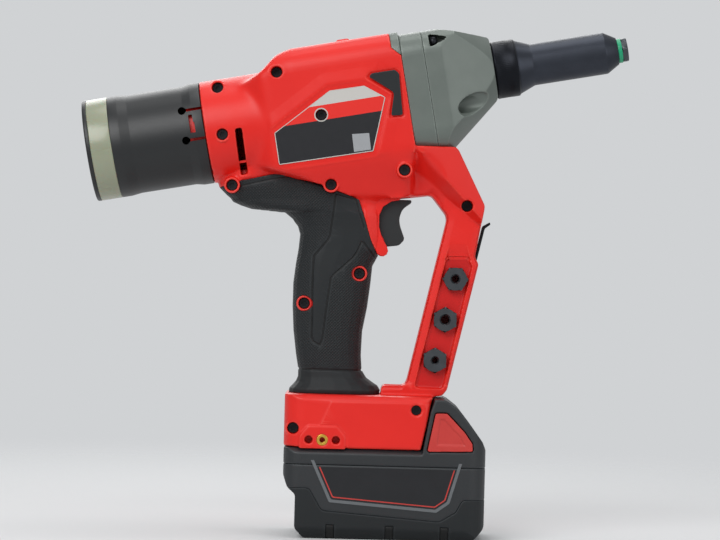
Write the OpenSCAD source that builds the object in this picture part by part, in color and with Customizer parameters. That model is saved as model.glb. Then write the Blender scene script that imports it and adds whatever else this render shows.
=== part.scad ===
// Battery rivet tool: a cordless blind-rivet puller that stands on its slide-on battery.
// +X points to the nose, +Z is up, and the origin is the centre of the battery's flat base.
// The user's right-hand side, with the housing screws, is at -Y.

/* [Attitude] */
// Nose-up tilt of the barrel, in degrees
barrel_tilt = 10.5; // [9:0.5:12]
// Height of the spindle axis above the battery's base, over the origin
spindle_z = 274; // [272:0.5:278]
// Drop of the cup's axis below the spindle axis
cup_drop = 10; // [8:0.5:11]

/* [Body] */
// Half width of the motor housing
body_hw = 33; // [31:0.5:37]
// Radius of the round rear barrel
barrel_r = 31; // [30:0.5:33]
// Rear edge of the barrel, measured along the spindle axis
barrel_rear = -118; // [-122:1:-116]
// Front face of the moulded body, measured along the spindle axis
body_front = 5.5; // [4.5:0.5:6.5]
// Height of the hump's top over the spindle axis
hump_h = 31; // [29:0.5:34]
// Wall of the moulded housing
wall = 3; // [2.4:0.2:3.6]

/* [Grip, guard and foot] */
// Half width of the rubber grip at its middle
grip_hw = 18.4; // [17.5:0.2:21]
// Thickness of the rubber over the grip's core
rubber_t = 2.6; // [2:0.2:3]
// Half width of the front guard
guard_hw = 14.5; // [13.5:0.5:17]
// Half width of the foot over the battery
foot_hw = 37; // [36:0.5:38]
// Depth of the bare storage recess in the guard's side
recess_d = 2.4; // [1.6:0.2:3]

/* [Gear case and nose] */
// Half width of the cast gear case
case_hw = 32; // [31:0.5:34]
// Wall of the cast gear case
case_wall = 3.5; // [3:0.25:4]
// Seam between the case and its front cover, along the spindle axis
case_seam = 19.3; // [18.8:0.1:20]
// Front end of the cast cover, along the spindle axis
case_front = 60; // [58:0.5:62]
// Radius of the nose collar
collar_r = 17.5; // [16:0.5:19]
// Length of the nose collar
collar_l = 14; // [11:0.5:16]
// Radius of the nose tube
tube_r = 12.7; // [12.2:0.1:14]
// Length of the nose tube from the collar's cone to its chamfer
tube_l = 45; // [43:0.5:48]
// Width across flats of a nosepiece's hexagon
hex_af = 13.7; // [13:0.1:15]
// Bore of the fitted nosepiece
nosepiece_bore = 6.6; // [5:0.1:7]
// Bores of the three stored nosepieces, top to bottom
spare_bores = [4.4, 5.2, 3.5]; // [3:0.1:6]

/* [Cup] */
// Outer radius of the cup's tube
cup_r = 30; // [29:0.5:30.5]
// Wall of the cup's tube
cup_wall = 2; // [1.8:0.1:2.4]
// Length of the cup's tube behind the barrel
cup_l = 56.6; // [50:0.5:65]
// Length of the clear window ring
window_l = 12.8; // [9:0.5:16]
// Thickness of the end cap
cap_l = 2.6; // [2:0.2:4]

/* [Drive] */
// Module of the spindle gears
spur_m = 1; // [0.95:0.01:1.02]
// Module of the planetary gears
planet_m = 0.7; // [0.66:0.01:0.72]
// Radius of the motor's stator
stator_r = 18.5; // [17:0.25:18.75]
// Radius of the pull spindle
spindle_r = 7.5; // [7:0.1:7.8]
// Bore through the spindle for broken mandrels
mandrel_bore = 7; // [6:0.1:7.2]
// Stroke of the pull spindle
stroke = 30; // [24:0.5:31]

/* [Trigger and battery] */
// Half width of the trigger
trigger_hw = 8; // [6:0.5:9]
// Travel of the trigger
trigger_travel = 6; // [4:0.5:7]
// Half width of the battery
battery_hw = 39; // [38.5:0.5:41]
// Wall of the battery's case
battery_wall = 2.2; // [1.8:0.1:2.4]
// Thickness of the battery's soft boot
boot_t = 1.5; // [1.2:0.1:1.8]
// Radius of a battery cell
cell_r = 9.25; // [9:0.05:9.3]
// Clearance between a battery cell's end and the case
cell_end_gap = 2.7; // [2:0.1:3.5]
// Travel of a battery latch
latch_travel = 3; // [2:0.25:3.5]

/* [Fasteners and clearances] */
// Radius of a housing screw's head
head_r = 3; // [2.6:0.1:3.1]
// Radius of a housing screw's shank
shank_r = 1.5; // [1.3:0.05:1.6]
// Radius of the wells that the housing screws sit in
well_r = 3.5; // [3.3:0.1:3.7]
// Clearance round pieces that slide
slide_gap = 0.4; // [0.35:0.05:0.5]
// Radial clearance of a running fit
run_gap = 0.05; // [0.03:0.01:0.08]

/* [Hidden] */
$fn = 64;

// Colours as the photograph shows them
red = "#E5322A";
rubber = "#33383B";
black = "#2C3033";
cast_grey = "#6E7670";
steel = "#8E9398";
dark_steel = "#3B3E42";
brass = "#D9B65C";

// A cut runs this far past the face it opens
past = 1;
// More than half of the whole tool, for half spaces
big = 400;

// A point of the barrel frame, t along the spindle axis and w up from it, as a world [x, z]
function bw(t, w) = [
    t * cos(barrel_tilt) - w * sin(barrel_tilt),
    spindle_z + t * sin(barrel_tilt) + w * cos(barrel_tilt)
];

// Rounded outlines: each corner is [x, y, radius], listed counter-clockwise. An arc's chords stay this close
arc_sag = 0.06;
function arc_steps(r, sweep) = max(2, ceil(abs(sweep) / (2 * acos(1 - arc_sag / max(r, arc_sag)))));
function unit(v) = v / norm(v);
function flat(p) = [p[0], p[1]];
function corner(a, b, c, r) =
    r <= 0 ? [b] :
    let (
        u = unit(a - b),
        v = unit(c - b),
        half = acos(u * v) / 2,
        o = b + unit(u + v) * r / sin(half),
        p = b + u * r / tan(half) - o,
        q = b + v * r / tan(half) - o,
        a0 = atan2(p.y, p.x),
        sweep = (atan2(q.y, q.x) - a0 + 540) % 360 - 180,
        steps = arc_steps(r, sweep)
    )
    [for (i = [0:steps]) let (a1 = a0 + sweep * i / steps) o + r * [cos(a1), sin(a1)]];
function rounded(pts) = [
    for (i = [0:len(pts) - 1])
        each corner(flat(pts[(i + len(pts) - 1) % len(pts)]), flat(pts[i]),
                    flat(pts[(i + 1) % len(pts)]), pts[i][2])
];

// The same outline moved inwards by d, with its corner radii following
function inward(a, b) = let (e = unit(b - a)) [-e.y, e.x];
function inset(pts, d) = [
    for (i = [0:len(pts) - 1])
        let (
            a = flat(pts[(i + len(pts) - 1) % len(pts)]),
            b = flat(pts[i]),
            c = flat(pts[(i + 1) % len(pts)]),
            n = inward(a, b),
            m = inward(b, c),
            turn = n * (c - b),
            p = b + (n + m) * d / (1 + n * m)
        )
        [p.x, p.y, pts[i][2] <= 0 ? 0 : max(0, pts[i][2] + (turn > 0 ? -d : d))]
];

// An outline in x and z, drawn out across the tool
module slab(pts, y0, y1) {
    translate([0, y1, 0]) rotate([90, 0, 0]) linear_extrude(y1 - y0) polygon(rounded(pts));
}

// The barrel's own frame, and solids drawn along or across it
module in_barrel() {
    translate([0, 0, spindle_z]) rotate([0, -barrel_tilt, 0]) children();
}
module along_barrel(t0, t1) {
    in_barrel() translate([t0, 0, 0]) rotate([90, 0, 90]) linear_extrude(t1 - t0) children();
}
module barrel_slab(pts, hw) {
    in_barrel() slab(pts, -hw, hw);
}
module barrel_plan(pts, w0, w1) {
    in_barrel() translate([0, 0, w0]) linear_extrude(w1 - w0) polygon(rounded(pts));
}
module rod(t0, t1, r, w = 0, y = 0) {
    in_barrel() translate([t0, y, w]) rotate([0, 90, 0]) cylinder(h = t1 - t0, r = r);
}
module cone_rod(t0, t1, r0, r1) {
    in_barrel() translate([t0, 0, 0]) rotate([0, 90, 0]) cylinder(h = t1 - t0, r1 = r0, r2 = r1);
}

// A round bar across the tool
module cross_bar(x, z, r, y0, y1) {
    translate([x, y1, z]) rotate([90, 0, 0]) cylinder(h = y1 - y0, r = r);
}
module right_half() {
    intersection() {
        children();
        translate([-big, -big, -big]) cube([2 * big, big, 2 * big]);
    }
}
module left_half() {
    intersection() {
        children();
        translate([-big, 0, -big]) cube([2 * big, big, 2 * big]);
    }
}

// Barrel, hump and motor bay
case_drop = 38.7;
case_keel = [29.6, -case_drop - 4.4];
case_base = case_keel[1] - 0.9;
throat_top = bw(body_front, -case_drop);
throat_front = bw(case_keel[0], case_keel[1]);
body_flare = 12;
body_rear = -92;
hump_rear = -79;
barrel_front = -70;
body_side = [
    concat(bw(body_rear, -36), 0), [-66, 218, 0], [-42, 212, 4], [-22, 204.5, 3], [3, 205.3, 0],
    [11.4, 206.3, 0], concat(throat_top, 0), concat(bw(body_front, hump_h), 0),
    concat(bw(-60, hump_h + 0.3), 6),
    concat(bw(-69, hump_h - 1.8), 5), concat(bw(hump_rear, 20.3), 4), concat(bw(body_rear, 15), 0)
];
body_neck_hw = 19;
body_section = [
    [-body_neck_hw, -90, 0], [body_neck_hw, -90, 0], [body_neck_hw, -66, 6], [body_hw, -41, 10],
    [body_hw, hump_h + 0.6, 15], [-body_hw, hump_h + 0.6, 15], [-body_hw, -41, 10], [-body_neck_hw, -66, 6]
];
body_plan = [
    [body_rear, -body_hw + body_flare, 0], [body_rear + body_flare, -body_hw, 8], [body_front, -body_hw, 0],
    [body_front, body_hw, 0], [body_rear + body_flare, body_hw, 8], [body_rear, body_hw - body_flare, 0]
];
module body_block(d = 0) {
    intersection() {
        slab(inset(body_side, d), -body_hw, body_hw);
        along_barrel(body_rear, body_front + past) polygon(rounded(inset(body_section, d)));
        barrel_plan(inset(body_plan, d), -100, hump_h + 10);
    }
}

// Throat and guard: the fold makes the wide body lean in to the narrow guard
leg_foot = [35.7, 90.2];
leg_head = [52.9, 166.7];
guard_side = [
    [2, 205.2, 0], [11.4, 206.3, 0], [23.1, 207.8, 2], [32.3, 196.3, 3], [33, 192.9, 3], [11.4, 95.7, 3],
    [9.9, 92.4, 0], [-4.4, 92.4, 2], [-4.4, 80, 0], [26, 80, 0], [27.4, 85.6, 0], [33, 86.6, 3],
    concat(leg_foot, 3), concat(leg_head, 2), [50.6, 171.1, 2], [55.5, 200.6, 3], [55.5, 202.4, 3],
    [39, 234.9, 2],
    concat(throat_front, 0), concat(throat_top, 0), [2, 236, 0]
];
fold_angle = 38.3;
fold_depth = 11;
module fold_prism() {
    translate([throat_top.x, 0, throat_top.y - 1]) rotate([0, fold_angle, 0]) rotate([90, 0, 90])
        translate([0, 0, -big / 2]) linear_extrude(big) polygon([
            [body_hw - 1, 60], [-body_hw + 1, 60], [-body_hw + 1, 0], [-guard_hw, -fold_depth],
            [-guard_hw, -big / 2], [guard_hw, -big / 2], [guard_hw, -fold_depth], [body_hw - 1, 0]
        ]);
}
throat_hw = 19;
throat_plan = [
    [-10, -body_hw, 0], [throat_top.x + 2, -body_hw, 8], [58, -throat_hw, 0], [58, throat_hw, 0],
    [throat_top.x + 2, body_hw, 8], [-10, body_hw, 0]
];
module guard() {
    intersection() {
        slab(guard_side, -body_hw, body_hw);
        fold_prism();
        translate([0, 0, 70]) linear_extrude(200) polygon(rounded(throat_plan));
    }
}

// Grip: rings [z, rear x, front x, half width as a step from grip_hw], swept upwards
grip_base = 86;
grip_rings = [
    [grip_base, -60.6, -5.4, 2.8], [88.6, -60.2, -4.8, 3], [91.4, -57.6, -6.6, 1.8], [93, -56.3, -9.2, 1],
    [95.9, -55.1, -13.4, 0.1], [100.5, -55.1, -16.3, -0.6], [109.5, -56.7, -17, -0.7],
    [124, -58.6, -16.6, -0.5], [139, -59.5, -13.9, -0.1], [153, -59.4, -12.3, 0], [164, -58.2, -11.4, 0],
    [170.5, -57.2, -8, 0],
    [174, -56.7, -4, 0], [182.5, -56, -3, 0.1], [187.4, -56.8, -3, 0.2], [192.2, -59.9, -3, 0.5],
    [196.2, -65, -3, 0.9], [198, -86, -3, 1.2], [201.4, -97, -3, 1.5], [205.2, -101.6, -3, 1.9],
    [209.5, -106, -3, 2.3], [216, -108, -3, 2.6], [226, -108, -3, 2.6]
];
ring_points = 24;
ring_square = 2.7;
function swell(v) = sign(v) * pow(abs(v), 2 / ring_square);
function ring(station, d) =
    let (
        middle = (station[1] + station[2]) / 2,
        reach = (station[2] - station[1]) / 2 - d,
        hw = grip_hw + station[3] - d
    )
    [for (i = [0:ring_points - 1])
        let (a = 360 * i / ring_points)
        [middle + reach * swell(cos(a)), i % (ring_points / 2) == 0 ? 0 : hw * swell(sin(a)), station[0]]];
module loft(rings) {
    n = len(rings[0]);
    last = len(rings) - 1;
    polyhedron(
        points = [for (r = rings) each r],
        faces = concat(
            [[for (i = [0:n - 1]) i]],
            [for (k = [0:last - 1], i = [0:n - 1]) [k * n + i, (k + 1) * n + i, k * n + (i + 1) % n]],
            [for (k = [0:last - 1], i = [0:n - 1])
                [(k + 1) * n + i, (k + 1) * n + (i + 1) % n, k * n + (i + 1) % n]],
            [[for (i = [n - 1:-1:0]) last * n + i]]
        )
    );
}
module grip_form(d) {
    loft([for (s = grip_rings) ring(s, d)]);
}

// Rubber lies below this line, which leaves a red strip behind the trigger
rubber_side = [
    [-130, 80, 0], [10, 80, 0], [10, 160, 0], [-8.8, 171.1, 0], [-12.9, 179.7, 0], [-16.1, 190.4, 0],
    [-21.4, 206.8, 3], [-33.1, 209.9, 3], [-42, 214.5, 3], [-63.6, 220.1, 5], [-94.5, 213.1, 0],
    [-130, 201, 0]
];
module rubber_zone() {
    slab(rubber_side, -body_hw, body_hw);
}

// Foot
foot_rear = -62.2;
foot_front = 27;
foot_base = 54.7;
foot_top = grip_base;
foot_shoulder = foot_top - 2.5;
foot_plan = [
    [foot_rear, -foot_hw, 12], [foot_front, -foot_hw, 6], [foot_front, foot_hw, 6], [foot_rear, foot_hw, 12]
];
foot_side = [
    [foot_rear, foot_base, 0], [19.9, foot_base, 0], [24.7, 77.4, 3], [26.8, foot_top, 0],
    [foot_rear, foot_top, 0]
];
foot_section = [
    [-foot_hw, foot_base - past, 0], [foot_hw, foot_base - past, 0], [foot_hw, foot_shoulder, 2],
    [foot_hw - 4, foot_top + past, 0], [-foot_hw + 4, foot_top + past, 0], [-foot_hw, foot_shoulder, 2]
];
module foot() {
    intersection() {
        translate([0, 0, foot_base]) linear_extrude(foot_top - foot_base) polygon(rounded(foot_plan));
        slab(foot_side, -foot_hw, foot_hw);
        translate([foot_rear, 0, 0]) rotate([90, 0, 90]) linear_extrude(foot_front - foot_rear)
            polygon(rounded(foot_section));
    }
}

// Slide-on rail: a T section on the battery that runs in a T slot of the foot
rail_head_hw = foot_hw - 12;
rail_neck_hw = rail_head_hw - 4;
rail_lip_top = 58.6;
rail_top = 66.6;
rail_rear = -46;
slot_rear = rail_rear - 5.5;
deck_z = foot_base - 0.5;
module t_bar(x0, x1, z0, gap) {
    translate([x0, -rail_neck_hw - gap, z0])
        cube([x1 - x0, 2 * (rail_neck_hw + gap), rail_lip_top + 2 - z0]);
    translate([x0, -rail_head_hw - gap, rail_lip_top + slide_gap - gap])
        cube([x1 - x0, 2 * (rail_head_hw + gap), rail_top - rail_lip_top - slide_gap + 2 * gap]);
}

// Hook plate: a pad on each side of the foot with a threaded insert and two locating holes
hook_x = -38.9;
hook_z = 59.1;
hook_pitch = 16.4;
hook_hole_r = 2.5;
hook_pad = 1;
hook_hole_l = 5;
insert_r = 3.4;
insert_bore_r = 1.65;
insert_l = 8;
hook_side = [
    [-52.7, foot_base - 0.9, 0], [-25.1, foot_base - 0.9, 0], [-25.1, 61, 1.5], [-30.2, 67.3, 1.5],
    [-47.5, 67.3, 1.5], [-52.7, 61, 1.5]
];
module hook_pads() {
    slab(hook_side, -foot_hw - hook_pad, -foot_hw + 0.5);
    slab(hook_side, foot_hw - 0.5, foot_hw + hook_pad);
}

// Housing screws: [x, z, half width of the housing there]
screw_posts = [
    [-108, 269.4, 0.45 * barrel_r], [-103.8, 240.8, barrel_r], [-72.1, 279, body_hw - 4],
    [-97.6, 210.7, 20], [-37.7, 212.4, 26], [-44.6, 253.9, body_hw - 0.3], [6.4, 222.2, body_hw - 2],
    [44.9, 201.8, guard_hw - 0.3], [-52.2, 140.4, grip_hw - 3.2], [-19.2, 159.2, grip_hw - 3.2],
    [17, 78.2, foot_hw], [-56.6, 65.6, foot_hw - 4]
];
post_r = 4.8;
well_depth = 6;
head_l = 2.4;
screw_reach = 9;
module post_solids() {
    for (s = screw_posts) cross_bar(s[0], s[1], post_r, -s[2], s[2] - wall + past);
}
module post_holes() {
    for (s = screw_posts) {
        cross_bar(s[0], s[1], well_r, -s[2] - 20, well_depth - s[2]);
        cross_bar(s[0], s[1], shank_r + run_gap, -s[2], screw_reach);
    }
}

// Cup spigot at the barrel's rear, with its bayonet lugs
cup_bore_r = cup_r - cup_wall;
spigot_r = cup_bore_r - 0.6;
spigot_l = 11.6;
spigot_wall = 2.5;
lug_r = 1.8;
lug_reach = 1;
lug_t = barrel_rear - 8;
lug_angles = [0, 120, 240];
twist_angle = 15;
liner_r = 6.6;
liner_wall = 1;
module spigot() {
    rod(barrel_rear - spigot_l, barrel_rear + past, spigot_r, -cup_drop);
    in_barrel() translate([lug_t, 0, -cup_drop]) for (a = lug_angles)
        rotate([a, 0, 0]) cylinder(h = spigot_r + lug_reach, r = lug_r);
}
module spigot_bore() {
    rod(barrel_rear - spigot_l - past, barrel_rear - wall, spigot_r - spigot_wall, -cup_drop);
    rod(barrel_rear - spigot_l, barrel_rear + wall, liner_r + run_gap);
}

// Motor and gears, laid out from their teeth
sun_teeth = 12;
planet_teeth = 18;
ring_teeth = sun_teeth + 2 * planet_teeth;
pinion_teeth = 12;
nut_teeth = 42;
motor_w = -spur_m * (pinion_teeth + nut_teeth) / 2;
planet_orbit = planet_m * (sun_teeth + planet_teeth) / 2;
stator_t0 = -38;
stator_t1 = -16;
plate_l = 4;
shaft_r = 2.5;
bearing_r = 8;
ring_gear_t0 = stator_t1 + plate_l;
ring_gear_r = planet_m * (ring_teeth / 2 + 1.1) + 0.8;
planet_t0 = -7.5;
planet_l = 7;
carrier_t0 = planet_t0 + planet_l + 0.6;
carrier_l = 3;
carrier_r = planet_orbit + 2.6;
pin_r = 1.8;
output_r = 4;
bulkhead_l = 3.5;
spur_t0 = body_front + bulkhead_l + 2;
spur_l = 6;

// Ribs across the motor bay that cradle the stator, and shelves across the grip
rib_l = 3;
rib_places = [stator_t0 + 5, stator_t1 - 8];
spindle_way = spindle_r + 1.5;
shelf = [4, 30, 4];
switch_base = 180;
module_base = 98;
shelf_x = -36;
module bay_ribs() {
    for (t = rib_places) difference() {
        intersection() {
            body_block(wall - 0.2);
            along_barrel(t, t + rib_l) square([2 * big, 2 * big], center = true);
        }
        rod(t - past, t + rib_l + past, stator_r, motor_w);
        rod(t - past, t + rib_l + past, spindle_way);
    }
}
module grip_shelves() {
    for (z = [switch_base, module_base])
        translate([shelf_x - shelf.x / 2, -shelf.y / 2, z - shelf.z]) cube(shelf);
}

// Trigger
trigger_side = [
    [-12, 177.5, 1], [-3.9, 175.9, 0], [4.4, 176.9, 3], [7.8, 180.6, 2.5], [5, 188, 6], [3.9, 193, 10],
    [6, 199.2, 8], [11.4, 203, 1], [11.2, 204.7, 0], [-12, 204.7, 1]
];
stem_r = 3;
stem_z = 192;
stem_rear = -23;
finger_arc = [5.4, 191, 14.4];
module trigger_ways() {
    cross_bar(finger_arc[0], finger_arc[1], finger_arc[2], -body_hw, body_hw);
    slab([
        [-12 - trigger_travel - 1, 174.4, 0], [0, 174.4, 0], [0, 190, 0], [12, 190, 0], [12, 205.6, 0],
        [-12 - trigger_travel - 1, 205.6, 0]
    ], -trigger_hw - slide_gap, trigger_hw + slide_gap);
}

// Guard's storage: a sunk panel with three sockets, and the wrench's channel down the front
guard_lean = atan2(leg_head.x - leg_foot.x, leg_head.y - leg_foot.y);
recess_side = [
    [15.8, 91, 2], [33, 90.6, 2], [49, 166, 3], [46, 170, 2], [33.4, 170, 3]
];
spare_top = [39, 157.4];
spare_pitch = 25.4;
spare_shank_r = 4.6;
spare_shank_l = 15;
spare_head_l = 5;
function spare_place(i) = spare_top - i * spare_pitch * [sin(guard_lean), cos(guard_lean)];
wrench_t = 1.5;
wrench_hw = 8.5;
wrench_floor = 3.4;
// A point of the guard's front: up from its lower end along the leg, and out from its face
function leg(up, out) =
    leg_foot + up * [sin(guard_lean), cos(guard_lean)] + out * [cos(guard_lean), -sin(guard_lean)];
channel_side = [
    concat(leg(4, -wrench_floor), 0), concat(leg(4, 6), 0), concat(leg(84, 6), 0),
    concat(leg(84, -wrench_floor), 0)
];
module guard_storage() {
    slab(recess_side, -guard_hw - past, -guard_hw + recess_d);
    for (i = [0:2])
        cross_bar(spare_place(i)[0], spare_place(i)[1], spare_shank_r + slide_gap,
                  -guard_hw, -guard_hw + recess_d + spare_shank_l + 0.5);
    slab(channel_side, -wrench_hw - slide_gap, wrench_hw + slide_gap);
}

// Vent slot in the right side of the barrel
vent_side = [
    concat(bw(-101.2, -39.2), 0.5), concat(bw(-97, -39.2), 0.5), concat(bw(-95.9, -11.6), 0.5),
    concat(bw(-100.1, -11.6), 0.5)
];

// The cast case's tab that reaches back over the hump
tab_l = 3.8;
tab_w = 24;
tab_hw = 15;
case_top = 29.5;

module housing_outer() {
    rod(barrel_rear, barrel_front, barrel_r, -cup_drop);
    spigot();
    body_block();
    guard();
    grip_form(rubber_t);
    difference() {
        grip_form(0);
        rubber_zone();
    }
    foot();
    hook_pads();
}
module housing_hollow() {
    rod(barrel_rear + wall, -60, barrel_r - wall, -cup_drop);
    spigot_bore();
    body_block(wall);
    along_barrel(-10, body_front + 2 * past) polygon(rounded([
        [-26, -36, 8], [26, -36, 8], [26, 25, 8], [-26, 25, 8]
    ]));
    rod(ring_gear_t0 - 2, body_front + run_gap, ring_gear_r + run_gap, motor_w);
    loft([for (s = grip_rings) if (s[0] > 94 && s[0] < 210) ring(s, rubber_t + wall)]);
    translate([shelf_x - 8, -9, rail_top - past]) cube([16, 18, 96.5 - rail_top + past]);
    t_bar(slot_rear, foot_front + 10, foot_base - past, slide_gap);
}
module housing() {
    difference() {
        union() {
            difference() {
                housing_outer();
                housing_hollow();
            }
            bay_ribs();
            intersection() {
                grip_shelves();
                grip_form(rubber_t + 1);
            }
            post_solids();
        }
        post_holes();
        rod(stator_t0 - 34, body_front, spindle_way);
        trigger_ways();
        guard_storage();
        in_barrel() translate([body_front - tab_l, -tab_hw, tab_w]) cube([20, 2 * tab_hw, 20]);
        for (side = [0, 1]) mirror([0, side, 0]) {
            cross_bar(hook_x, hook_z, insert_r, -foot_hw - 10, insert_l - foot_hw - hook_pad);
            for (k = [-0.5, 0.5])
                cross_bar(hook_x + k * hook_pitch, hook_z, hook_hole_r,
                          -foot_hw - 10, hook_hole_l - foot_hw);
        }
    }
}
module housing_right() {
    color(red) difference() {
        right_half() housing();
        slab(vent_side, -body_hw - 10, -barrel_r / 3);
    }
}
module housing_left() {
    color(red) left_half() housing();
}

module grip() {
    difference() {
        intersection() {
            grip_form(0);
            rubber_zone();
        }
        grip_form(rubber_t);
        rod(barrel_rear - past, -60, barrel_r, -cup_drop);
        body_block();
        guard();
        for (s = screw_posts) cross_bar(s[0], s[1], post_r, -s[2] - 20, s[2] - wall + past);
    }
}
module grip_right() {
    color(rubber) right_half() grip();
}
module grip_left() {
    color(rubber) left_half() grip();
}

bumper_t = 1.2;
bumper_side = [
    concat(bw(-6.2, -18.8), 1), concat(bw(0.8, -19.4), 1), concat(bw(2.5, 5.7), 2),
    concat(bw(0.4, 8.2), 2), concat(bw(-13.8, 8.2), 1.5), concat(bw(-15.8, 6.5), 1),
    concat(bw(-2.2, -5.2), 3)
];
module bumper_right() {
    color(rubber) slab(bumper_side, -body_hw - bumper_t, -body_hw);
}
module bumper_left() {
    color(rubber) slab(bumper_side, body_hw, body_hw + bumper_t);
}

label_t = 0.3;
label_side = [
    concat(bw(-77.2, -37.4), 1), concat(bw(-20, -38.1), 1), concat(bw(-7.8, -7.2), 1),
    concat(bw(-19.3, 1.6), 1), concat(bw(-40.4, 1.9), 1), concat(bw(-70, -14.3), 1),
    concat(bw(-77, -18), 1)
];
module rating_label() {
    color("#C9C6C1") difference() {
        slab(label_side, -body_hw - label_t, -body_hw);
        rod(barrel_rear, barrel_front, barrel_r, -cup_drop);
        for (s = screw_posts) cross_bar(s[0], s[1], well_r, -body_hw - past, -body_hw + past);
    }
}

module housing_screws() {
    color(dark_steel) for (s = screw_posts) {
        cross_bar(s[0], s[1], head_r, well_depth - s[2] - head_l, well_depth - s[2]);
        cross_bar(s[0], s[1], shank_r, well_depth - s[2], screw_reach);
    }
}

module hook_inserts() {
    color(brass) for (side = [0, 1]) mirror([0, side, 0]) difference() {
        cross_bar(hook_x, hook_z, insert_r, -foot_hw - hook_pad, insert_l - foot_hw - hook_pad);
        cross_bar(hook_x, hook_z, insert_bore_r, -foot_hw - 10, 0);
    }
}

// Cast gear case: one outer form, split at the seam
cone_start = 28;
rim_r = 21;
case_side = [
    [body_front, -case_drop, 0], concat(case_keel, 3), [case_front - 1, -19, 2], [case_front, -17, 0],
    [case_front, 20, 2], [cone_start, case_top, 4], [body_front, case_top, 0]
];
case_section = [
    [-case_hw, case_base, 14], [case_hw, case_base, 14], [case_hw, case_top, 14], [-case_hw, case_top, 14]
];
case_plan = [
    [body_front, -case_hw, 0], [cone_start + 2, -case_hw, 5], [case_front, -rim_r, 0],
    [case_front, rim_r, 0], [cone_start + 2, case_hw, 5], [body_front, case_hw, 0]
];
module case_form(d = 0) {
    intersection() {
        barrel_slab(inset(case_side, d), case_hw);
        along_barrel(body_front, case_front) polygon(rounded(inset(case_section, d)));
        barrel_plan(inset(case_plan, d), -60, 60);
        cone_rod(body_front, case_front, rim_r + (case_front - body_front) * 0.8 - d, rim_r - d);
    }
}
module case_part(t0, t1) {
    intersection() {
        case_form();
        along_barrel(t0, t1) square([2 * big, 2 * big], center = true);
    }
}

// Case screws: two sit in pockets on top, two in oval scoops on the lower flanks
case_screw_r = 2;
case_head_r = 3.6;
case_head_l = 4;
case_key_r = 1.9;
case_thread_l = 8;
case_screws = [[-25.5, 21.5], [25.5, 21.5], [-24.5, -19], [24.5, -19]];
case_seat = 24;
scoop_r = 5;
scoop_wall = 2;
pocket_l = 18;
pocket_tip_r = 1.5;
module scoop(y, w) {
    if (w > 0)
        in_barrel() translate([case_seat, y, w]) rotate([0, 90, 0])
            cylinder(h = pocket_l, r1 = scoop_r, r2 = pocket_tip_r);
    else
        rod(case_seat, case_front + 20, scoop_r, w, y);
}
module gear_case() {
    color(cast_grey) difference() {
        union() {
            case_part(body_front, case_seam);
            in_barrel() translate([body_front - tab_l + slide_gap, -tab_hw + slide_gap, tab_w + slide_gap])
                cube([tab_l + 1, 2 * (tab_hw - slide_gap), case_top - tab_w - slide_gap]);
        }
        intersection() {
            case_form(case_wall);
            along_barrel(body_front + bulkhead_l, case_front) square([2 * big, 2 * big], center = true);
        }
        rod(body_front - past, case_seam, spindle_way);
        rod(body_front - past, case_seam, output_r + run_gap, motor_w);
        for (s = case_screws) rod(case_seam - case_thread_l, case_seam + past, case_screw_r, s[1], s[0]);
    }
}

thrust_l = 6;
thrust_t0 = case_front - 10.4 - thrust_l;
nose_root = case_front - 10;
nose_root_r = 11.5;
bearing_t0 = case_seam + 1.7;
bearing_l = 8;
bearing_seat_r = 18;
nut_r = 12.5;
module front_cover() {
    color(cast_grey) difference() {
        union() {
            difference() {
                case_part(case_seam, case_front);
                intersection() {
                    case_form(case_wall);
                    along_barrel(body_front, nose_root) square([2 * big, 2 * big], center = true);
                }
            }
            case_web(bearing_t0, bearing_t0 + bearing_l);
            case_web(thrust_t0, nose_root);
            for (s = case_screws) intersection() {
                union() {
                    rod(case_seam, case_seat + 3, case_head_r + 1.5, s[1], s[0]);
                    rod(case_seat - scoop_wall, case_front - past, scoop_r + scoop_wall, s[1], s[0]);
                }
                case_form(case_wall / 2);
            }
        }
        rod(bearing_t0 - past, bearing_t0 + bearing_l + past, bearing_seat_r + run_gap);
        rod(thrust_t0 - past, nose_root, thrust_r + run_gap);
        rod(nose_root - past, case_front + past, nose_root_r + run_gap);
        for (s = case_screws) {
            rod(case_seam - past, case_seat + past, case_screw_r, s[1], s[0]);
            scoop(s[0], s[1]);
        }
    }
}
thrust_r = 15;
module case_web(t0, t1) {
    intersection() {
        case_form(case_wall / 2);
        along_barrel(t0, t1) square([2 * big, 2 * big], center = true);
    }
}
module gear_case_screws() {
    color(dark_steel) for (s = case_screws) {
        rod(case_seam - case_thread_l, case_seat, case_screw_r, s[1], s[0]);
        difference() {
            rod(case_seat, case_seat + case_head_l, case_head_r, s[1], s[0]);
            in_barrel() translate([case_seat + 2, s[0], s[1]]) rotate([0, 90, 0])
                cylinder(h = 4, r = case_key_r, $fn = 6);
        }
    }
}

// Nose: sleeve, hexagonal nosepiece and its colour ring
collar_t1 = case_front + 0.7 + collar_l;
nose_cone_l = 9.4;
tube_t1 = collar_t1 + nose_cone_l + tube_l;
chamfer_l = 7.7;
nose_end = tube_t1 + chamfer_l;
nose_tip_r = 8.1;
ring_l = 2.6;
nose_shank_r = 5;
jaw_case_r = 9.3;
sleeve_bore_r = jaw_case_r + slide_gap;
hex_head_l = 3.5;
module nose_sleeve() {
    color(black) in_barrel() rotate([0, 90, 0]) rotate_extrude() polygon([
        [sleeve_bore_r, nose_root + 0.3], [nose_root_r, nose_root + 0.3], [nose_root_r, case_front],
        [collar_r - 2, case_front], [collar_r - 2, case_front + 0.7], [collar_r, case_front + 0.7],
        [collar_r, collar_t1 - 1], [collar_r - 1, collar_t1], [tube_r, collar_t1 + nose_cone_l],
        [tube_r, tube_t1], [nose_tip_r, nose_end], [nose_shank_r, nose_end],
        [nose_shank_r, tube_t1 - 1], [sleeve_bore_r, tube_t1 - 1]
    ]);
}
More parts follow.
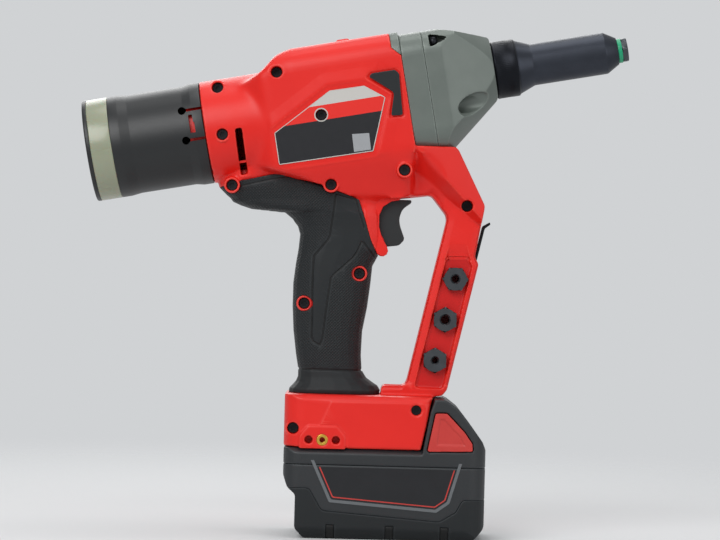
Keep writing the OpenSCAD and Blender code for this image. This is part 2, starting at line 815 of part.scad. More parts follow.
module hexagon_head(t0, l, r_hole) {
    along_barrel(t0, t0 + l) difference() {
        circle(r = hex_af / sqrt(3), $fn = 6);
        circle(r = r_hole);
    }
}
module nosepiece() {
    color(dark_steel) union() {
        hexagon_head(nose_end + ring_l, hex_head_l, nosepiece_bore / 2);
        difference() {
            rod(jaw_t1 + 3, nose_end + ring_l, nose_shank_r);
            rod(jaw_t1, nose_end + ring_l + past, nosepiece_bore / 2);
        }
    }
}
module nosepiece_ring() {
    color("#12A070") difference() {
        rod(nose_end, nose_end + ring_l, 7.4);
        rod(nose_end - past, nose_end + ring_l + past, nose_shank_r);
    }
}

// Motor
rotor_r = 10.8;
module motor_stator() {
    color(steel) difference() {
        rod(stator_t0, stator_t1, stator_r, motor_w);
        rod(stator_t0 - past, stator_t1 + past, rotor_r + 0.7, motor_w);
    }
}
module motor_end_plates() {
    color(black) for (t = [stator_t0 - plate_l, stator_t1]) difference() {
        rod(t, t + plate_l, stator_r - 0.3, motor_w);
        rod(t - past, t + plate_l + past, bearing_r, motor_w);
    }
}
module motor_bearings() {
    color(steel) for (t = [stator_t0 - plate_l, stator_t1]) difference() {
        rod(t, t + plate_l, bearing_r, motor_w);
        rod(t - past, t + plate_l + past, shaft_r + run_gap, motor_w);
    }
}
module motor_rotor() {
    color(dark_steel) {
        rod(stator_t0 + 2, stator_t1 - 2, rotor_r, motor_w);
        rod(stator_t0 - plate_l, planet_t0, shaft_r, motor_w);
        gear(sun_teeth, planet_m, planet_t0, planet_l);
    }
}

// Straight-sided teeth with room to run: half widths are shares of the tooth pitch
tip_share = 0.11;
root_share = 0.30;
addendum = 0.8;
dedendum = 1.1;
function tooth_ring(z, r_root, r_tip, root, tip) = [
    for (i = [0:z - 1], k = [[r_root, -root], [r_tip, -tip], [r_tip, tip], [r_root, root]])
        k[0] * [cos(360 * (i + k[1]) / z), sin(360 * (i + k[1]) / z)]
];
module gear(z, m, t0, l, w = motor_w, y = 0, turn = 0, bore_r = 0) {
    along_barrel(t0, t0 + l) translate([y, w]) rotate(turn) difference() {
        polygon(tooth_ring(z, m * (z / 2 - dedendum), m * (z / 2 + addendum), root_share, tip_share));
        if (bore_r > 0) circle(r = bore_r);
    }
}
module ring_gear() {
    color(steel) along_barrel(ring_gear_t0, body_front) translate([0, motor_w]) difference() {
        circle(r = ring_gear_r);
        rotate(180 / ring_teeth) polygon(tooth_ring(ring_teeth, planet_m * (ring_teeth / 2 - addendum),
            planet_m * (ring_teeth / 2 + dedendum), 0.39, 0.2));
    }
}
module planet(i) {
    color(steel) gear(planet_teeth, planet_m, planet_t0, planet_l,
        motor_w + planet_orbit * sin(120 * i), planet_orbit * cos(120 * i),
        120 * i + 180 / planet_teeth, pin_r + run_gap);
}
module planet_gear_1() {
    planet(0);
}
module planet_gear_2() {
    planet(1);
}
module planet_gear_3() {
    planet(2);
}
module planet_carrier() {
    color(dark_steel) {
        rod(carrier_t0, carrier_t0 + carrier_l, carrier_r, motor_w);
        for (i = [0:2])
            rod(planet_t0, carrier_t0, pin_r, motor_w + planet_orbit * sin(120 * i),
                planet_orbit * cos(120 * i));
        rod(carrier_t0 + carrier_l, spur_t0, output_r, motor_w);
        gear(pinion_teeth, spur_m, spur_t0, spur_l);
    }
}

// Ball nut with its gear, on a radial and a thrust bearing
module ball_nut() {
    color(steel) difference() {
        union() {
            gear(nut_teeth, spur_m, spur_t0, spur_l, 0);
            rod(spur_t0, thrust_t0 - 0.05, nut_r);
        }
        rod(spur_t0 - past, case_front, spindle_r + slide_gap);
    }
}
module nut_bearing() {
    color(steel) difference() {
        rod(bearing_t0, bearing_t0 + bearing_l, bearing_seat_r);
        rod(bearing_t0 - past, bearing_t0 + bearing_l + past, nut_r + run_gap);
    }
}
module thrust_bearing() {
    color(steel) difference() {
        rod(thrust_t0, nose_root, thrust_r);
        rod(thrust_t0 - past, nose_root + past, sleeve_bore_r);
    }
}

// Pull spindle and jaws: they draw back by the stroke, and the jaw case stays ahead of the nut
jaw_case_t0 = thrust_t0 + stroke + 1;
spindle_t1 = jaw_case_t0 + 8;
spindle_t0 = -34;
tail_r = 5.2;
tail_rear = spindle_t0 - 40;
jaw_t1 = tube_t1 - 11;
jaw_l = 13;
jaw_t0 = jaw_t1 - jaw_l;
jaw_mouth_r = 3.6;
jaw_bore_r = 1.6;
jaw_gap = 0.45;
jaw_seat_r = 7;
module pull_spindle() {
    color(steel) difference() {
        union() {
            rod(spindle_t0, spindle_t1, spindle_r);
            rod(tail_rear, spindle_t0, tail_r);
        }
        rod(tail_rear - past, spindle_t1 + past, mandrel_bore / 2);
    }
}
module jaw_case() {
    color(dark_steel) in_barrel() rotate([0, 90, 0]) rotate_extrude() polygon([
        [spindle_r, jaw_case_t0], [jaw_case_r, jaw_case_t0], [jaw_case_r, jaw_t1 - 2],
        [jaw_case_r - 2, jaw_case_t1], [jaw_mouth_r, jaw_case_t1], [jaw_seat_r, jaw_t0],
        [jaw_seat_r, spindle_t1], [spindle_r, spindle_t1]
    ]);
}
jaw_case_t1 = jaw_t1 + 1.5;
function jaw_cone(t) =
    jaw_seat_r + (jaw_mouth_r - jaw_seat_r) * (t - jaw_t0) / (jaw_case_t1 - jaw_t0) - jaw_gap;
module jaw(i) {
    color(steel) intersection() {
        in_barrel() rotate([0, 90, 0]) rotate_extrude() polygon([
            [jaw_bore_r, jaw_t0], [jaw_cone(jaw_t0), jaw_t0], [jaw_cone(jaw_t1), jaw_t1],
            [jaw_bore_r, jaw_t1]
        ]);
        along_barrel(jaw_t0 - past, jaw_t1 + past) rotate(120 * i) polygon([
            [1, 0], [40, -64], [80, 0], [40, 64]
        ]);
    }
}
module jaw_1() {
    jaw(0);
}
module jaw_2() {
    jaw(1);
}
module jaw_3() {
    jaw(2);
}
pusher_l = 6;
pusher_r = jaw_seat_r - 0.3;
module jaw_pusher() {
    color(steel) difference() {
        rod(jaw_t0 - pusher_l, jaw_t0, pusher_r);
        rod(jaw_t0 - pusher_l - past, jaw_t0 + past, jaw_bore_r + 1);
    }
}

// Jaw spring: one unbroken wire between the spindle's end and the pusher
wire_r = 0.65;
coil_r = pusher_r - wire_r - 0.3;
coil_turns = 6;
coil_rings = 8;
coil_sides = 6;
coil_t0 = spindle_t1 + wire_r + 0.1;
coil_t1 = jaw_t0 - pusher_l - wire_r - 0.1;
coil_steps = coil_turns * coil_rings;
function coil_out(s) = [0, cos(360 * s / coil_rings), sin(360 * s / coil_rings)];
function coil_point(s) = [coil_t0 + (coil_t1 - coil_t0) * s / coil_steps, 0, 0] + coil_r * coil_out(s);
function coil_ring(s) = [
    for (j = [0:coil_sides - 1])
        let (a = 360 * j / coil_sides)
        coil_point(s) + wire_r * (cos(a) * coil_out(s) + sin(a) * [1, 0, 0])
];
coil_least_gap = (coil_t1 - coil_t0) / coil_turns - 2 * wire_r;
echo(jaw_spring_least_gap = coil_least_gap);
module jaw_spring() {
    color(steel) in_barrel() loft([for (s = [0:coil_steps]) coil_ring(s)]);
}

// Liner that leads broken mandrels from the spindle's tail to the cup
liner_front = spindle_t0 - stroke - 2;
module mandrel_liner() {
    color(black) difference() {
        rod(barrel_rear - spigot_l + 2, liner_front, liner_r);
        rod(barrel_rear - spigot_l, liner_front + past, liner_r - liner_wall);
    }
}

// Electrics
module_size = [18, 17, 34];
switch_rear = -46;
switch_hw = 9;
switch_h = 24;
module control_module() {
    color("#3C5A44") translate([shelf_x - module_size.x / 2, -module_size.y / 2, module_base])
        cube(module_size);
}
module trigger_switch() {
    color(black) difference() {
        translate([switch_rear, -switch_hw, switch_base])
            cube([stem_rear + 4 - switch_rear, 2 * switch_hw, switch_h]);
        translate([stem_rear - trigger_travel - 1, 0, stem_z]) rotate([0, 90, 0])
            cylinder(h = 40, r = stem_r + slide_gap);
    }
}
module trigger() {
    color(black) {
        slab(trigger_side, -trigger_hw, trigger_hw);
        translate([stem_rear, 0, stem_z]) rotate([0, 90, 0]) cylinder(h = -12 - stem_rear + 1, r = stem_r);
    }
}
block_hw = rail_neck_hw - 1;
blade_places = [for (k = [-0.75:0.5:0.75]) k * block_hw];
blade_t = 0.8;
blade_z = 61;
blade_h = 4;
blade_l = 10;
block_l = 4;
block_rim = 1.6;
module terminal_block() {
    color(black) translate([slot_rear, -block_hw, blade_z - block_rim])
        cube([block_l, 2 * block_hw, blade_h + 2 * block_rim]);
    color(brass) for (y = blade_places)
        translate([slot_rear + block_l, y - blade_t / 2, blade_z]) cube([blade_l, blade_t, blade_h]);
}

// Collection cup: black tube, clear ring and end cap, held by the spigot's bayonet
cup_t1 = barrel_rear - slide_gap;
cup_t0 = cup_t1 - cup_l;
window_t0 = cup_t0 - window_l;
window_r = cup_r + 0.8;
cap_t0 = window_t0 - cap_l;
groove_r = spigot_r + lug_reach + slide_gap;
groove_hw = lug_r + slide_gap;
key_r = 2.2;
key_slit = 1.2;
key_t = barrel_rear - 14;
key_window_t = barrel_rear - 10;
mouth_r = 2.4;
key_heights = [-2.7, 15.5];
module cup_places() {
    in_barrel() translate([0, 0, -cup_drop]) children();
}
module collection_cup() {
    color(black) difference() {
        cup_places() rotate([0, 90, 0]) rotate_extrude() polygon([
            [cup_bore_r, cup_t0], [window_r, cup_t0], [window_r, cup_t0 + 5.9], [cup_r, cup_t0 + 12],
            [cup_r, cup_t1 - 11], [cup_r + 1, cup_t1 - 6], [cup_r + 1, cup_t1], [cup_bore_r, cup_t1],
            [cup_bore_r, lug_t + groove_hw], [groove_r, lug_t + groove_hw], [groove_r, lug_t - groove_hw],
            [cup_bore_r, lug_t - groove_hw]
        ]);
        cup_places() for (a = lug_angles) rotate([a - twist_angle, 0, 0])
            translate([lug_t, 0, groove_r - mouth_r]) rotate([0, 90, 0]) cylinder(h = big, r = mouth_r);
        cup_places() for (h = key_heights) {
            translate([key_t, 0, h]) rotate([90, 0, 0]) cylinder(h = big, r = key_r);
            translate([key_t, -big, h - key_slit / 2]) cube([big, big, key_slit]);
        }
        cup_places() translate([key_window_t, -big, 1.5]) cube([3.2, big, 11]);
    }
}
module cup_window() {
    color("#B0B49C") cup_places() difference() {
        translate([window_t0, 0, 0]) rotate([0, 90, 0]) cylinder(h = window_l, r = window_r);
        translate([window_t0 - past, 0, 0]) rotate([0, 90, 0])
            cylinder(h = window_l + 2 * past, r = cup_bore_r);
    }
}
module cup_end_cap() {
    color(black) cup_places() rotate([0, 90, 0]) rotate_extrude() polygon([
        [0, window_t0], [window_r, window_t0], [window_r, cap_t0 + 1], [window_r - 1, cap_t0], [0, cap_t0]
    ]);
}

// Stored nosepieces and the nose wrench
module spare_nosepiece(i) {
    p = spare_place(i);
    y0 = -guard_hw + recess_d - spare_head_l;
    color(dark_steel) difference() {
        union() {
            translate([p[0], y0 + spare_head_l, p[1]]) rotate([90, 0, 0]) rotate(i == 1 ? 30 : 0)
                cylinder(h = spare_head_l, r = hex_af / sqrt(3), $fn = 6);
            cross_bar(p[0], p[1], spare_shank_r, y0 + spare_head_l, y0 + spare_head_l + spare_shank_l);
        }
        cross_bar(p[0], p[1], spare_bores[i] / 2, y0 - past, big);
    }
}
module spare_nosepiece_1() {
    spare_nosepiece(0);
}
module spare_nosepiece_2() {
    spare_nosepiece(1);
}
module spare_nosepiece_3() {
    spare_nosepiece(2);
}
wrench_in = -wrench_floor + slide_gap;
module nose_wrench() {
    color(dark_steel) slab([
        concat(leg(5, wrench_in), 0), concat(leg(5, wrench_in + wrench_t), 0),
        concat(leg(100.4, wrench_in + wrench_t), 2), concat(leg(103.6, wrench_in + wrench_t + 2.8), 0),
        concat(leg(104.9, wrench_in + wrench_t + 2), 0), concat(leg(101.6, wrench_in), 2)
    ], -wrench_hw, wrench_hw);
}

// Battery: case in two halves, soft boot, cells and latches
battery_seam = 44.4;
battery_rear = -62;
battery_front = 59.5;
ledge_z = 51.2;
battery_screw_top = ledge_z - 1.5;
deck_hw = foot_hw - 2;
battery_plan = [
    [battery_rear, -battery_hw, 10], [battery_front, -battery_hw, 12], [battery_front, battery_hw, 12],
    [battery_rear, battery_hw, 10]
];
battery_side = [
    [-49, 0, 3], [52, 0, 4], [battery_front, 8, 6], [battery_front, battery_seam, 0],
    [battery_rear, battery_seam, 0], [battery_rear, 37.6, 2], [-59.4, 30.4, 3], [-54.4, 26.2, 3],
    [-54.4, 6, 4]
];
battery_section = [
    [-battery_hw + 4, 0, 4], [battery_hw - 4, 0, 4], [battery_hw, 6, 4], [battery_hw, battery_seam, 0],
    [-battery_hw, battery_seam, 0], [-battery_hw, 6, 4]
];
module battery_form(d = 0) {
    intersection() {
        linear_extrude(battery_seam) polygon(rounded(inset(battery_plan, d)));
        slab(inset(battery_side, d), -battery_hw, battery_hw);
        translate([battery_rear, 0, 0]) rotate([90, 0, 90]) linear_extrude(battery_front - battery_rear)
            polygon(rounded(inset(battery_section, d)));
    }
}
boot_side = [
    [-60, -5, 0], [70, -5, 0], [70, 25.4, 0], [46, 25, 3], [42, 17.5, 3], [32.4, 11.6, 4], [-38.3, 16.8, 4],
    [-46.1, 30.1, 3], [-60, 30, 0]
];
module boot_zone() {
    slab(boot_side, -battery_hw - past, battery_hw + past);
}
cell_pitch = 2 * cell_r + 0.8;
cell_count = 5;
cell_middle = -2.6;
cell_floor = boot_t + battery_wall;
cell_l = 2 * (battery_hw - battery_wall - boot_t - cell_end_gap);
battery_post_r = 3.2;
battery_screw_r = 1.3;
battery_head_r = 2.4;
battery_head_l = 1.8;
battery_well_r = battery_head_r + 0.4;
// Case screws come up from below: [x, height of the head's seat], on both sides
battery_spots = [[-57.4, 33], [49, 4.5]];
battery_screw_y = battery_hw - 11;
module battery_columns(r, z0, z1) {
    for (s = battery_spots, y = [-battery_screw_y, battery_screw_y])
        translate([s[0], y, z0]) cylinder(h = z1 - z0, r = r);
}
module battery_wells() {
    for (s = battery_spots, y = [-battery_screw_y, battery_screw_y])
        translate([s[0], y, s[1] - 12]) cylinder(h = 12, r = battery_well_r);
}
gauge_z = 36;
gauge_r = 4;
lens_y = [-16, -12, 12, 16];
module battery_case_lower() {
    color("#2A2D31") difference() {
        union() {
            difference() {
                battery_form();
                boot_zone();
                difference() {
                    battery_form(battery_wall + boot_t);
                    translate([-big, -big, -big]) cube([2 * big, 2 * big, big + cell_floor]);
                }
                battery_mouth();
            }
            difference() {
                intersection() {
                    battery_form(boot_t);
                    boot_zone();
                }
                battery_form(battery_wall + boot_t);
                battery_mouth();
            }
            intersection() {
                battery_form(boot_t);
                battery_columns(battery_post_r, 0, battery_seam);
            }
        }
        battery_columns(battery_screw_r, -past, battery_seam + past);
        battery_wells();
        translate([battery_front - 8, 0, gauge_z]) rotate([0, 90, 0])
            cylinder(h = 20, r = gauge_r + slide_gap);
        for (y = lens_y) translate([battery_front - 1.2, y - 1, gauge_z - 2]) cube([10, 2, 4]);
    }
}
// The lower case is open to the upper one over its whole inside
module battery_mouth() {
    translate([0, 0, battery_seam - battery_wall - boot_t - past]) linear_extrude(20)
        polygon(rounded(inset(battery_plan, battery_wall + boot_t)));
}
module battery_boot() {
    color(black) difference() {
        intersection() {
            battery_form();
            boot_zone();
        }
        battery_form(boot_t);
        battery_wells();
    }
}
tower_side = [
    [20.9, ledge_z - past, 0], [battery_front, ledge_z - past, 0], [battery_front, 55, 3], [57.4, 60, 6],
    [50, 70, 8], [43, 78.8, 8], [37, 83.4, 4], [33.9, 84.9, 2], [28.2, 84.9, 0], [25.7, 77.4, 0]
];
latch_side = [
    [24.2, 53.7, 1], [51.5, 54.4, 1], [51.1, 58.9, 2], [46.5, 65.5, 2], [38.6, 73.7, 3],
    [35.5, 76.8, 1], [28.7, 76.7, 1]
];
latch_face = battery_hw + 0.2;
latch_back = battery_hw - 5.5;
module battery_case_upper() {
    color("#2A2D31") difference() {
        union() {
            intersection() {
                translate([0, 0, battery_seam]) linear_extrude(20) polygon(rounded(battery_plan));
                translate([battery_rear, 0, 0]) rotate([90, 0, 90])
                    linear_extrude(battery_front - battery_rear) polygon([
                        [-battery_hw, battery_seam], [battery_hw, battery_seam], [battery_hw, ledge_z],
                        [deck_hw, deck_z], [-deck_hw, deck_z], [-battery_hw, ledge_z]
                    ]);
            }
            intersection() {
                slab(tower_side, -battery_hw, battery_hw);
                translate([0, 0, battery_seam]) linear_extrude(60) polygon(rounded(battery_plan));
            }
            t_bar(rail_rear, 24, deck_z - past, 0);
        }
        difference() {
            translate([0, 0, battery_seam - past])
                linear_extrude(ledge_z - battery_seam - battery_wall + past)
                    polygon(rounded(inset(battery_plan, battery_wall + boot_t)));
            battery_columns(battery_post_r, battery_seam - 2 * past, ledge_z);
        }
        for (side = [-1, 1]) slab(inset(latch_side, -slide_gap),
            side < 0 ? -big : latch_back - latch_travel - 1, side < 0 ? 1 + latch_travel - latch_back : big);
        for (y = blade_places)
            translate([rail_rear - past, y - blade_t / 2 - slide_gap, blade_z - slide_gap])
                cube([blade_l + past, blade_t + 2 * slide_gap, blade_h + 2 * slide_gap]);
        battery_columns(battery_screw_r, battery_seam - past, battery_screw_top);
    }
}
module battery_label_plates() {
    plate = [
        [-33, 23, 2], [30, 17.6, 2], [37, 22.6, 2], [42.6, 42.6, 1], [-42, 42.6, 1]
    ];
    color("#1D1E24") for (side = [-1, 1])
        slab(plate, side < 0 ? -battery_hw - 0.3 : battery_hw, side < 0 ? -battery_hw : battery_hw + 0.3);
}
module battery_cells() {
    color("#2F6DA8") for (i = [0:cell_count - 1], row = [0, 1])
        cross_bar(cell_middle + (i - (cell_count - 1) / 2) * cell_pitch,
                  cell_floor + cell_r + row * (2 * cell_r + 0.2), cell_r, -cell_l / 2, cell_l / 2);
}
board_z = cell_floor + 4 * cell_r + 0.4;
board_rear = -40;
board_l = 84;
board_hw = battery_hw - 13;
board_t = 1.6;
module battery_board() {
    color("#3C5A44") translate([board_rear, -board_hw, board_z])
        cube([board_l, 2 * board_hw, board_t]);
}
module battery_latch(side) {
    color("#D5453F") slab(latch_side, side < 0 ? -latch_face : latch_back,
                          side < 0 ? -latch_back : latch_face);
}
module battery_latch_right() {
    battery_latch(-1);
}
module battery_latch_left() {
    battery_latch(1);
}
module gauge_button() {
    color(rubber) translate([battery_front - 3.4, 0, gauge_z]) rotate([0, 90, 0])
        cylinder(h = 3.8, r = gauge_r);
}
module gauge_lenses() {
    color("#D8D8D0") for (y = lens_y) translate([battery_front - 1.2, y - 1, gauge_z - 2]) cube([1.2, 2, 4]);
}
module battery_screws() {
    color(dark_steel) for (s = battery_spots, y = [-battery_screw_y, battery_screw_y]) {
        translate([s[0], y, s[1] - battery_head_l]) cylinder(h = battery_head_l, r = battery_head_r);
        translate([s[0], y, s[1]]) cylinder(h = battery_screw_top - s[1], r = battery_screw_r);
    }
}

housing_right();
housing_left();
grip_right();
grip_left();
bumper_right();
bumper_left();
rating_label();
housing_screws();
hook_inserts();
gear_case();
front_cover();
gear_case_screws();
nose_sleeve();
nosepiece();
nosepiece_ring();
motor_stator();
motor_end_plates();
motor_bearings();
motor_rotor();
ring_gear();
planet_gear_1();
planet_gear_2();
planet_gear_3();
planet_carrier();
ball_nut();
nut_bearing();
thrust_bearing();
pull_spindle();
jaw_case();
jaw_1();
jaw_2();
jaw_3();
jaw_pusher();
jaw_spring();
mandrel_liner();
control_module();
trigger_switch();
trigger();
terminal_block();
collection_cup();
cup_window();
cup_end_cap();
nose_wrench();
spare_nosepiece_1();
spare_nosepiece_2();
spare_nosepiece_3();
battery_case_upper();
battery_case_lower();
battery_boot();
battery_label_plates();
battery_cells();
battery_board();
battery_latch_right();
battery_latch_left();
gauge_button();
gauge_lenses();
battery_screws();
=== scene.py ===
"""Battery rivet tool: a cordless blind-rivet puller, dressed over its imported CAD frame."""
import math
from contextlib import contextmanager

import bmesh
import bpy
import numpy as np
from mathutils import Matrix, Vector


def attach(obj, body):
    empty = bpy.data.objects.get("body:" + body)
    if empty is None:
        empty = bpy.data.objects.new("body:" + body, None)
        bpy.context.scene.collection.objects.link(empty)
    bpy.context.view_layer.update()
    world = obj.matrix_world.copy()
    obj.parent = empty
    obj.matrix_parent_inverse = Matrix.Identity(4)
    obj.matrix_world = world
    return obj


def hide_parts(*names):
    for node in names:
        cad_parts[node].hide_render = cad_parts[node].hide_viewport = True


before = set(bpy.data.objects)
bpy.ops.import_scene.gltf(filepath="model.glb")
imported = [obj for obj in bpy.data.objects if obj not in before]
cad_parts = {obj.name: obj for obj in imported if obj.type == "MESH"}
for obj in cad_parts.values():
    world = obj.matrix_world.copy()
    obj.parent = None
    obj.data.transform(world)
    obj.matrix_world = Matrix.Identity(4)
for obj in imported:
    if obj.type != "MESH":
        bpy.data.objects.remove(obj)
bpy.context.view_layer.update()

# Housing: two halves of glass-filled nylon, injection moulded in red and screwed together on the
# middle plane. The mould leaves eased edges, a fine eroded grain, raised panels and sunk fields.
MM = 0.001
SIDES = ((-1, "right"), (1, "left"))
SPINDLE_Z = 274
TILT = math.radians(10.5)
ALONG = Vector((math.cos(TILT), 0, math.sin(TILT)))
UP = Vector((-math.sin(TILT), 0, math.cos(TILT)))
CUP_DROP = 10
BARREL_R, BARREL_NEAR, BARREL_FRONT, SPIGOT_END = 31, 0.45, -70, -127.6


def colour(code):
    """Linear RGBA of an sRGB hex code."""
    channels = [int(code[i:i + 2], 16) / 255 for i in (1, 3, 5)]
    return [c / 12.92 if c <= 0.04045 else ((c + 0.055) / 1.055) ** 2.4 for c in channels] + [1.0]


def add(tree, kind, inputs=None, **settings):
    """Add a node with its settings; an input takes a value or another node's output."""
    node = tree.nodes.new(kind)
    for name, value in settings.items():
        setattr(node, name, value)
    for name, value in (inputs or {}).items():
        if isinstance(value, bpy.types.NodeSocket):
            tree.links.new(value, node.inputs[name])
        else:
            node.inputs[name].default_value = value
    return node


def blank_material(name):
    """A new material and its empty node tree."""
    material = bpy.data.materials.new(name)
    material.use_nodes = True
    material.node_tree.nodes.clear()
    return material, material.node_tree


def show(piece, finish, slot, body, *nodes):
    """Give a piece its finish and its body, and hide the CAD nodes it stands for; slot is not used."""
    piece.data.materials.clear()
    piece.data.materials.append(finish)
    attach(piece, body)
    if nodes:
        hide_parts(*nodes)


def link(name, mesh):
    """An object at the origin for a mesh."""
    piece = bpy.data.objects.new(name, mesh)
    bpy.context.scene.collection.objects.link(piece)
    return piece


def bake(piece):
    """Turn a piece and its modifiers into one plain mesh."""
    graph = bpy.context.evaluated_depsgraph_get()
    mesh = bpy.data.meshes.new_from_object(piece.evaluated_get(graph))
    old = piece.data
    piece.modifiers.clear()
    piece.data = mesh
    bpy.data.meshes.remove(old)


def points_of(mesh):
    """A mesh's points as rows of x, y, z in mm."""
    flat = np.empty(3 * len(mesh.vertices))
    mesh.vertices.foreach_get("co", flat)
    return flat.reshape(-1, 3) / MM


def move_points(mesh, points):
    mesh.vertices.foreach_set("co", (points * MM).ravel())
    mesh.update()


def normals_of(mesh):
    flat = np.empty(3 * len(mesh.vertices), dtype=np.float32)
    mesh.vertex_normals.foreach_get("vector", flat)
    return flat.reshape(-1, 3).astype(float)


def write_share(mesh, name, values=0.0):
    """Keep one number per point on the mesh, for a material to read."""
    shares = np.full(len(mesh.vertices), values, dtype=np.float32)
    mesh.attributes.new(name, "FLOAT", "POINT").data.foreach_set("value", shares)


@contextmanager
def reworked(mesh):
    """A mesh opened for rework, and written back after it."""
    shape = bmesh.new()
    shape.from_mesh(mesh)
    yield shape
    shape.to_mesh(mesh)
    shape.free()


def drop_slivers(mesh):
    """Dissolve the faces without area that thinning, cutting and flattening leave."""
    with reworked(mesh) as shape:
        bmesh.ops.dissolve_degenerate(shape, dist=0.004 * MM, edges=shape.edges)


EDGE_GAIN, EDGE_FLAT = 1.5, 0.15


def mark_edges(mesh):
    """Keep how sharply the surface turns outwards, as the share that materials paint paler, partly as rubbed wear
    and partly as a painted edge highlight.
    """
    points, normals = points_of(mesh), normals_of(mesh)
    ends = np.empty(2 * len(mesh.edges), dtype=np.int32)
    mesh.edges.foreach_get("vertices", ends)
    a, b = ends.reshape(-1, 2).T
    step = points[b] - points[a]
    reach = np.maximum((step * step).sum(1), 1e-9)
    turn = np.zeros(len(points))
    count = np.zeros(len(points))
    for here, sign in ((a, -1), (b, 1)):
        np.add.at(turn, here, 2 * sign * (step * normals[here]).sum(1) / reach)
        np.add.at(count, here, 1)
    write_share(mesh, "edge", np.clip(EDGE_GAIN * turn / np.maximum(count, 1) - EDGE_FLAT, 0, 1))


def weigh(piece, name, shares):
    """A vertex group that holds each point's share, in tenths."""
    group = piece.vertex_groups.new(name=name)
    for level in range(1, 11):
        group.add(np.nonzero(np.round(shares * 10) == level)[0].tolist(), level / 10, "REPLACE")
    return group.name


SEAM_REACH, SEAM_CRISP, SEAM_GAP = 1.6, 0.4, 0.02
FLOW_PASSES = 240


def eased_copy(name, node, voxel, passes, limit=185000, cut=(), seam=None, restore=None, soft=None,
               relief=None):
    """A copy of a CAD node with moulded edges: voxels of that many mm, smoothed, and thinned to a limit.

    cut lists operations and the plates to apply first, seam the side (-1 or 1) of a half whose parting
    face stays crisp, restore puts points back on a true surface before the smoothing, soft gives each
    point's share of a longer smoothing where surfaces flow into each other, and relief gives each
    point's rise along its normal, in mm.
    """
    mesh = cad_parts[node].data.copy()
    mesh.materials.clear()
    with reworked(mesh) as shape:
        bmesh.ops.remove_doubles(shape, verts=shape.verts, dist=0.002 * MM)
    piece = link(name, mesh)
    for operation, plate in cut:
        trim = piece.modifiers.new("Trim", "BOOLEAN")
        trim.operation, trim.object, trim.solver = operation, plate, "EXACT"
    remesh = piece.modifiers.new("Voxels", "REMESH")
    remesh.mode = "VOXEL"
    remesh.voxel_size = voxel * MM
    bake(piece)
    points = points_of(piece.data)
    if restore:
        points = restore(points)
        move_points(piece.data, points)
    away = np.clip(np.abs(points[:, 1]) / SEAM_REACH - SEAM_CRISP, 0, 1) if seam else np.ones(len(points))
    rounds = [("Ease", passes, away)]
    if soft:
        rounds.append(("Flow", FLOW_PASSES, away * soft(points)))
    for label, count, shares in rounds:
        smooth = piece.modifiers.new(label, "SMOOTH")
        smooth.factor = 0.5
        smooth.iterations = count
        smooth.vertex_group = weigh(piece, label, shares)
    bake(piece)
    points = points_of(piece.data)
    if seam:
        points[:, 1] = seam * np.maximum(seam * points[:, 1], SEAM_GAP)
        move_points(piece.data, points)
    if relief:
        points += normals_of(piece.data) * relief(points)[:, None]
        move_points(piece.data, points)
    triangles = sum(len(p.vertices) - 2 for p in piece.data.polygons)
    if triangles > limit:
        thin = piece.modifiers.new("Thin", "DECIMATE")
        thin.ratio = limit / triangles
        bake(piece)
    drop_slivers(piece.data)
    piece.data.shade_smooth()
    mark_edges(piece.data)
    return piece


def in_outline(points, outline):
    """Which points lie inside an outline in x and z."""
    x, z = points[:, 0], points[:, 2]
    inside = np.zeros(len(points), dtype=bool)
    for (x0, z0), (x1, z1) in zip(outline, outline[1:] + outline[:1]):
        if z0 != z1:
            inside ^= ((z0 > z) != (z1 > z)) & (x < x0 + (z - z0) * (x1 - x0) / (z1 - z0))
    return inside


def path_distance(points, path):
    """Each point's distance from a path in x and z."""
    x, z = points[:, 0], points[:, 2]
    best = np.full(len(points), 1e9)
    for (x0, z0), (x1, z1) in zip(path, path[1:]):
        dx, dz = x1 - x0, z1 - z0
        share = np.clip(((x - x0) * dx + (z - z0) * dz) / (dx * dx + dz * dz), 0, 1)
        best = np.minimum(best, np.hypot(x - x0 - share * dx, z - z0 - share * dz))
    return best


def barrel_place(points):
    """Each point's t along the spindle axis and w up from it."""
    x, z = points[:, 0], points[:, 2] - SPINDLE_Z
    return x * ALONG.x + z * ALONG.z, x * UP.x + z * UP.z


def true_barrel(points):
    """Put the points near the round rear barrel on its radius, and end the cup's spigot in its slots."""
    t, w = barrel_place(points)
    lift = w + CUP_DROP
    radius = np.hypot(points[:, 1], lift)
    near = (np.abs(radius - BARREL_R) < BARREL_NEAR) & (t < BARREL_FRONT)
    scale = np.where(near, BARREL_R / np.maximum(radius, 1), 1)
    moved = points.copy()
    moved[:, 1] *= scale
    moved[:, 0] += UP.x * lift * (scale - 1)
    moved[:, 2] += UP.z * lift * (scale - 1)
    over = np.maximum(SPIGOT_END - t, 0)
    moved[:, 0] += ALONG.x * over
    moved[:, 2] += ALONG.z * over
    return moved


def on_barrel(t, w):
    """World x and z, in mm, of a place in the barrel's frame."""
    return t * ALONG.x + w * UP.x, SPINDLE_Z + t * ALONG.z + w * UP.z


def barrel_outline(*places):
    """An outline in world x and z from places in the barrel's frame."""
    return [on_barrel(t, w) for t, w in places]


def away_from(points, place):
    """Each point's distance from a place whose first two numbers are its x and z."""
    return np.hypot(points[:, 0] - place[0], points[:, 2] - place[1])


def fraction(distance, reach):
    """How much of a reach a distance covers, from 0 to 1."""
    return np.clip(distance / reach, 0, 1)


BODY_HW, GUARD_HW, FOOT_HW, GRIP_HW = 33, 14.5, 37, 18.4
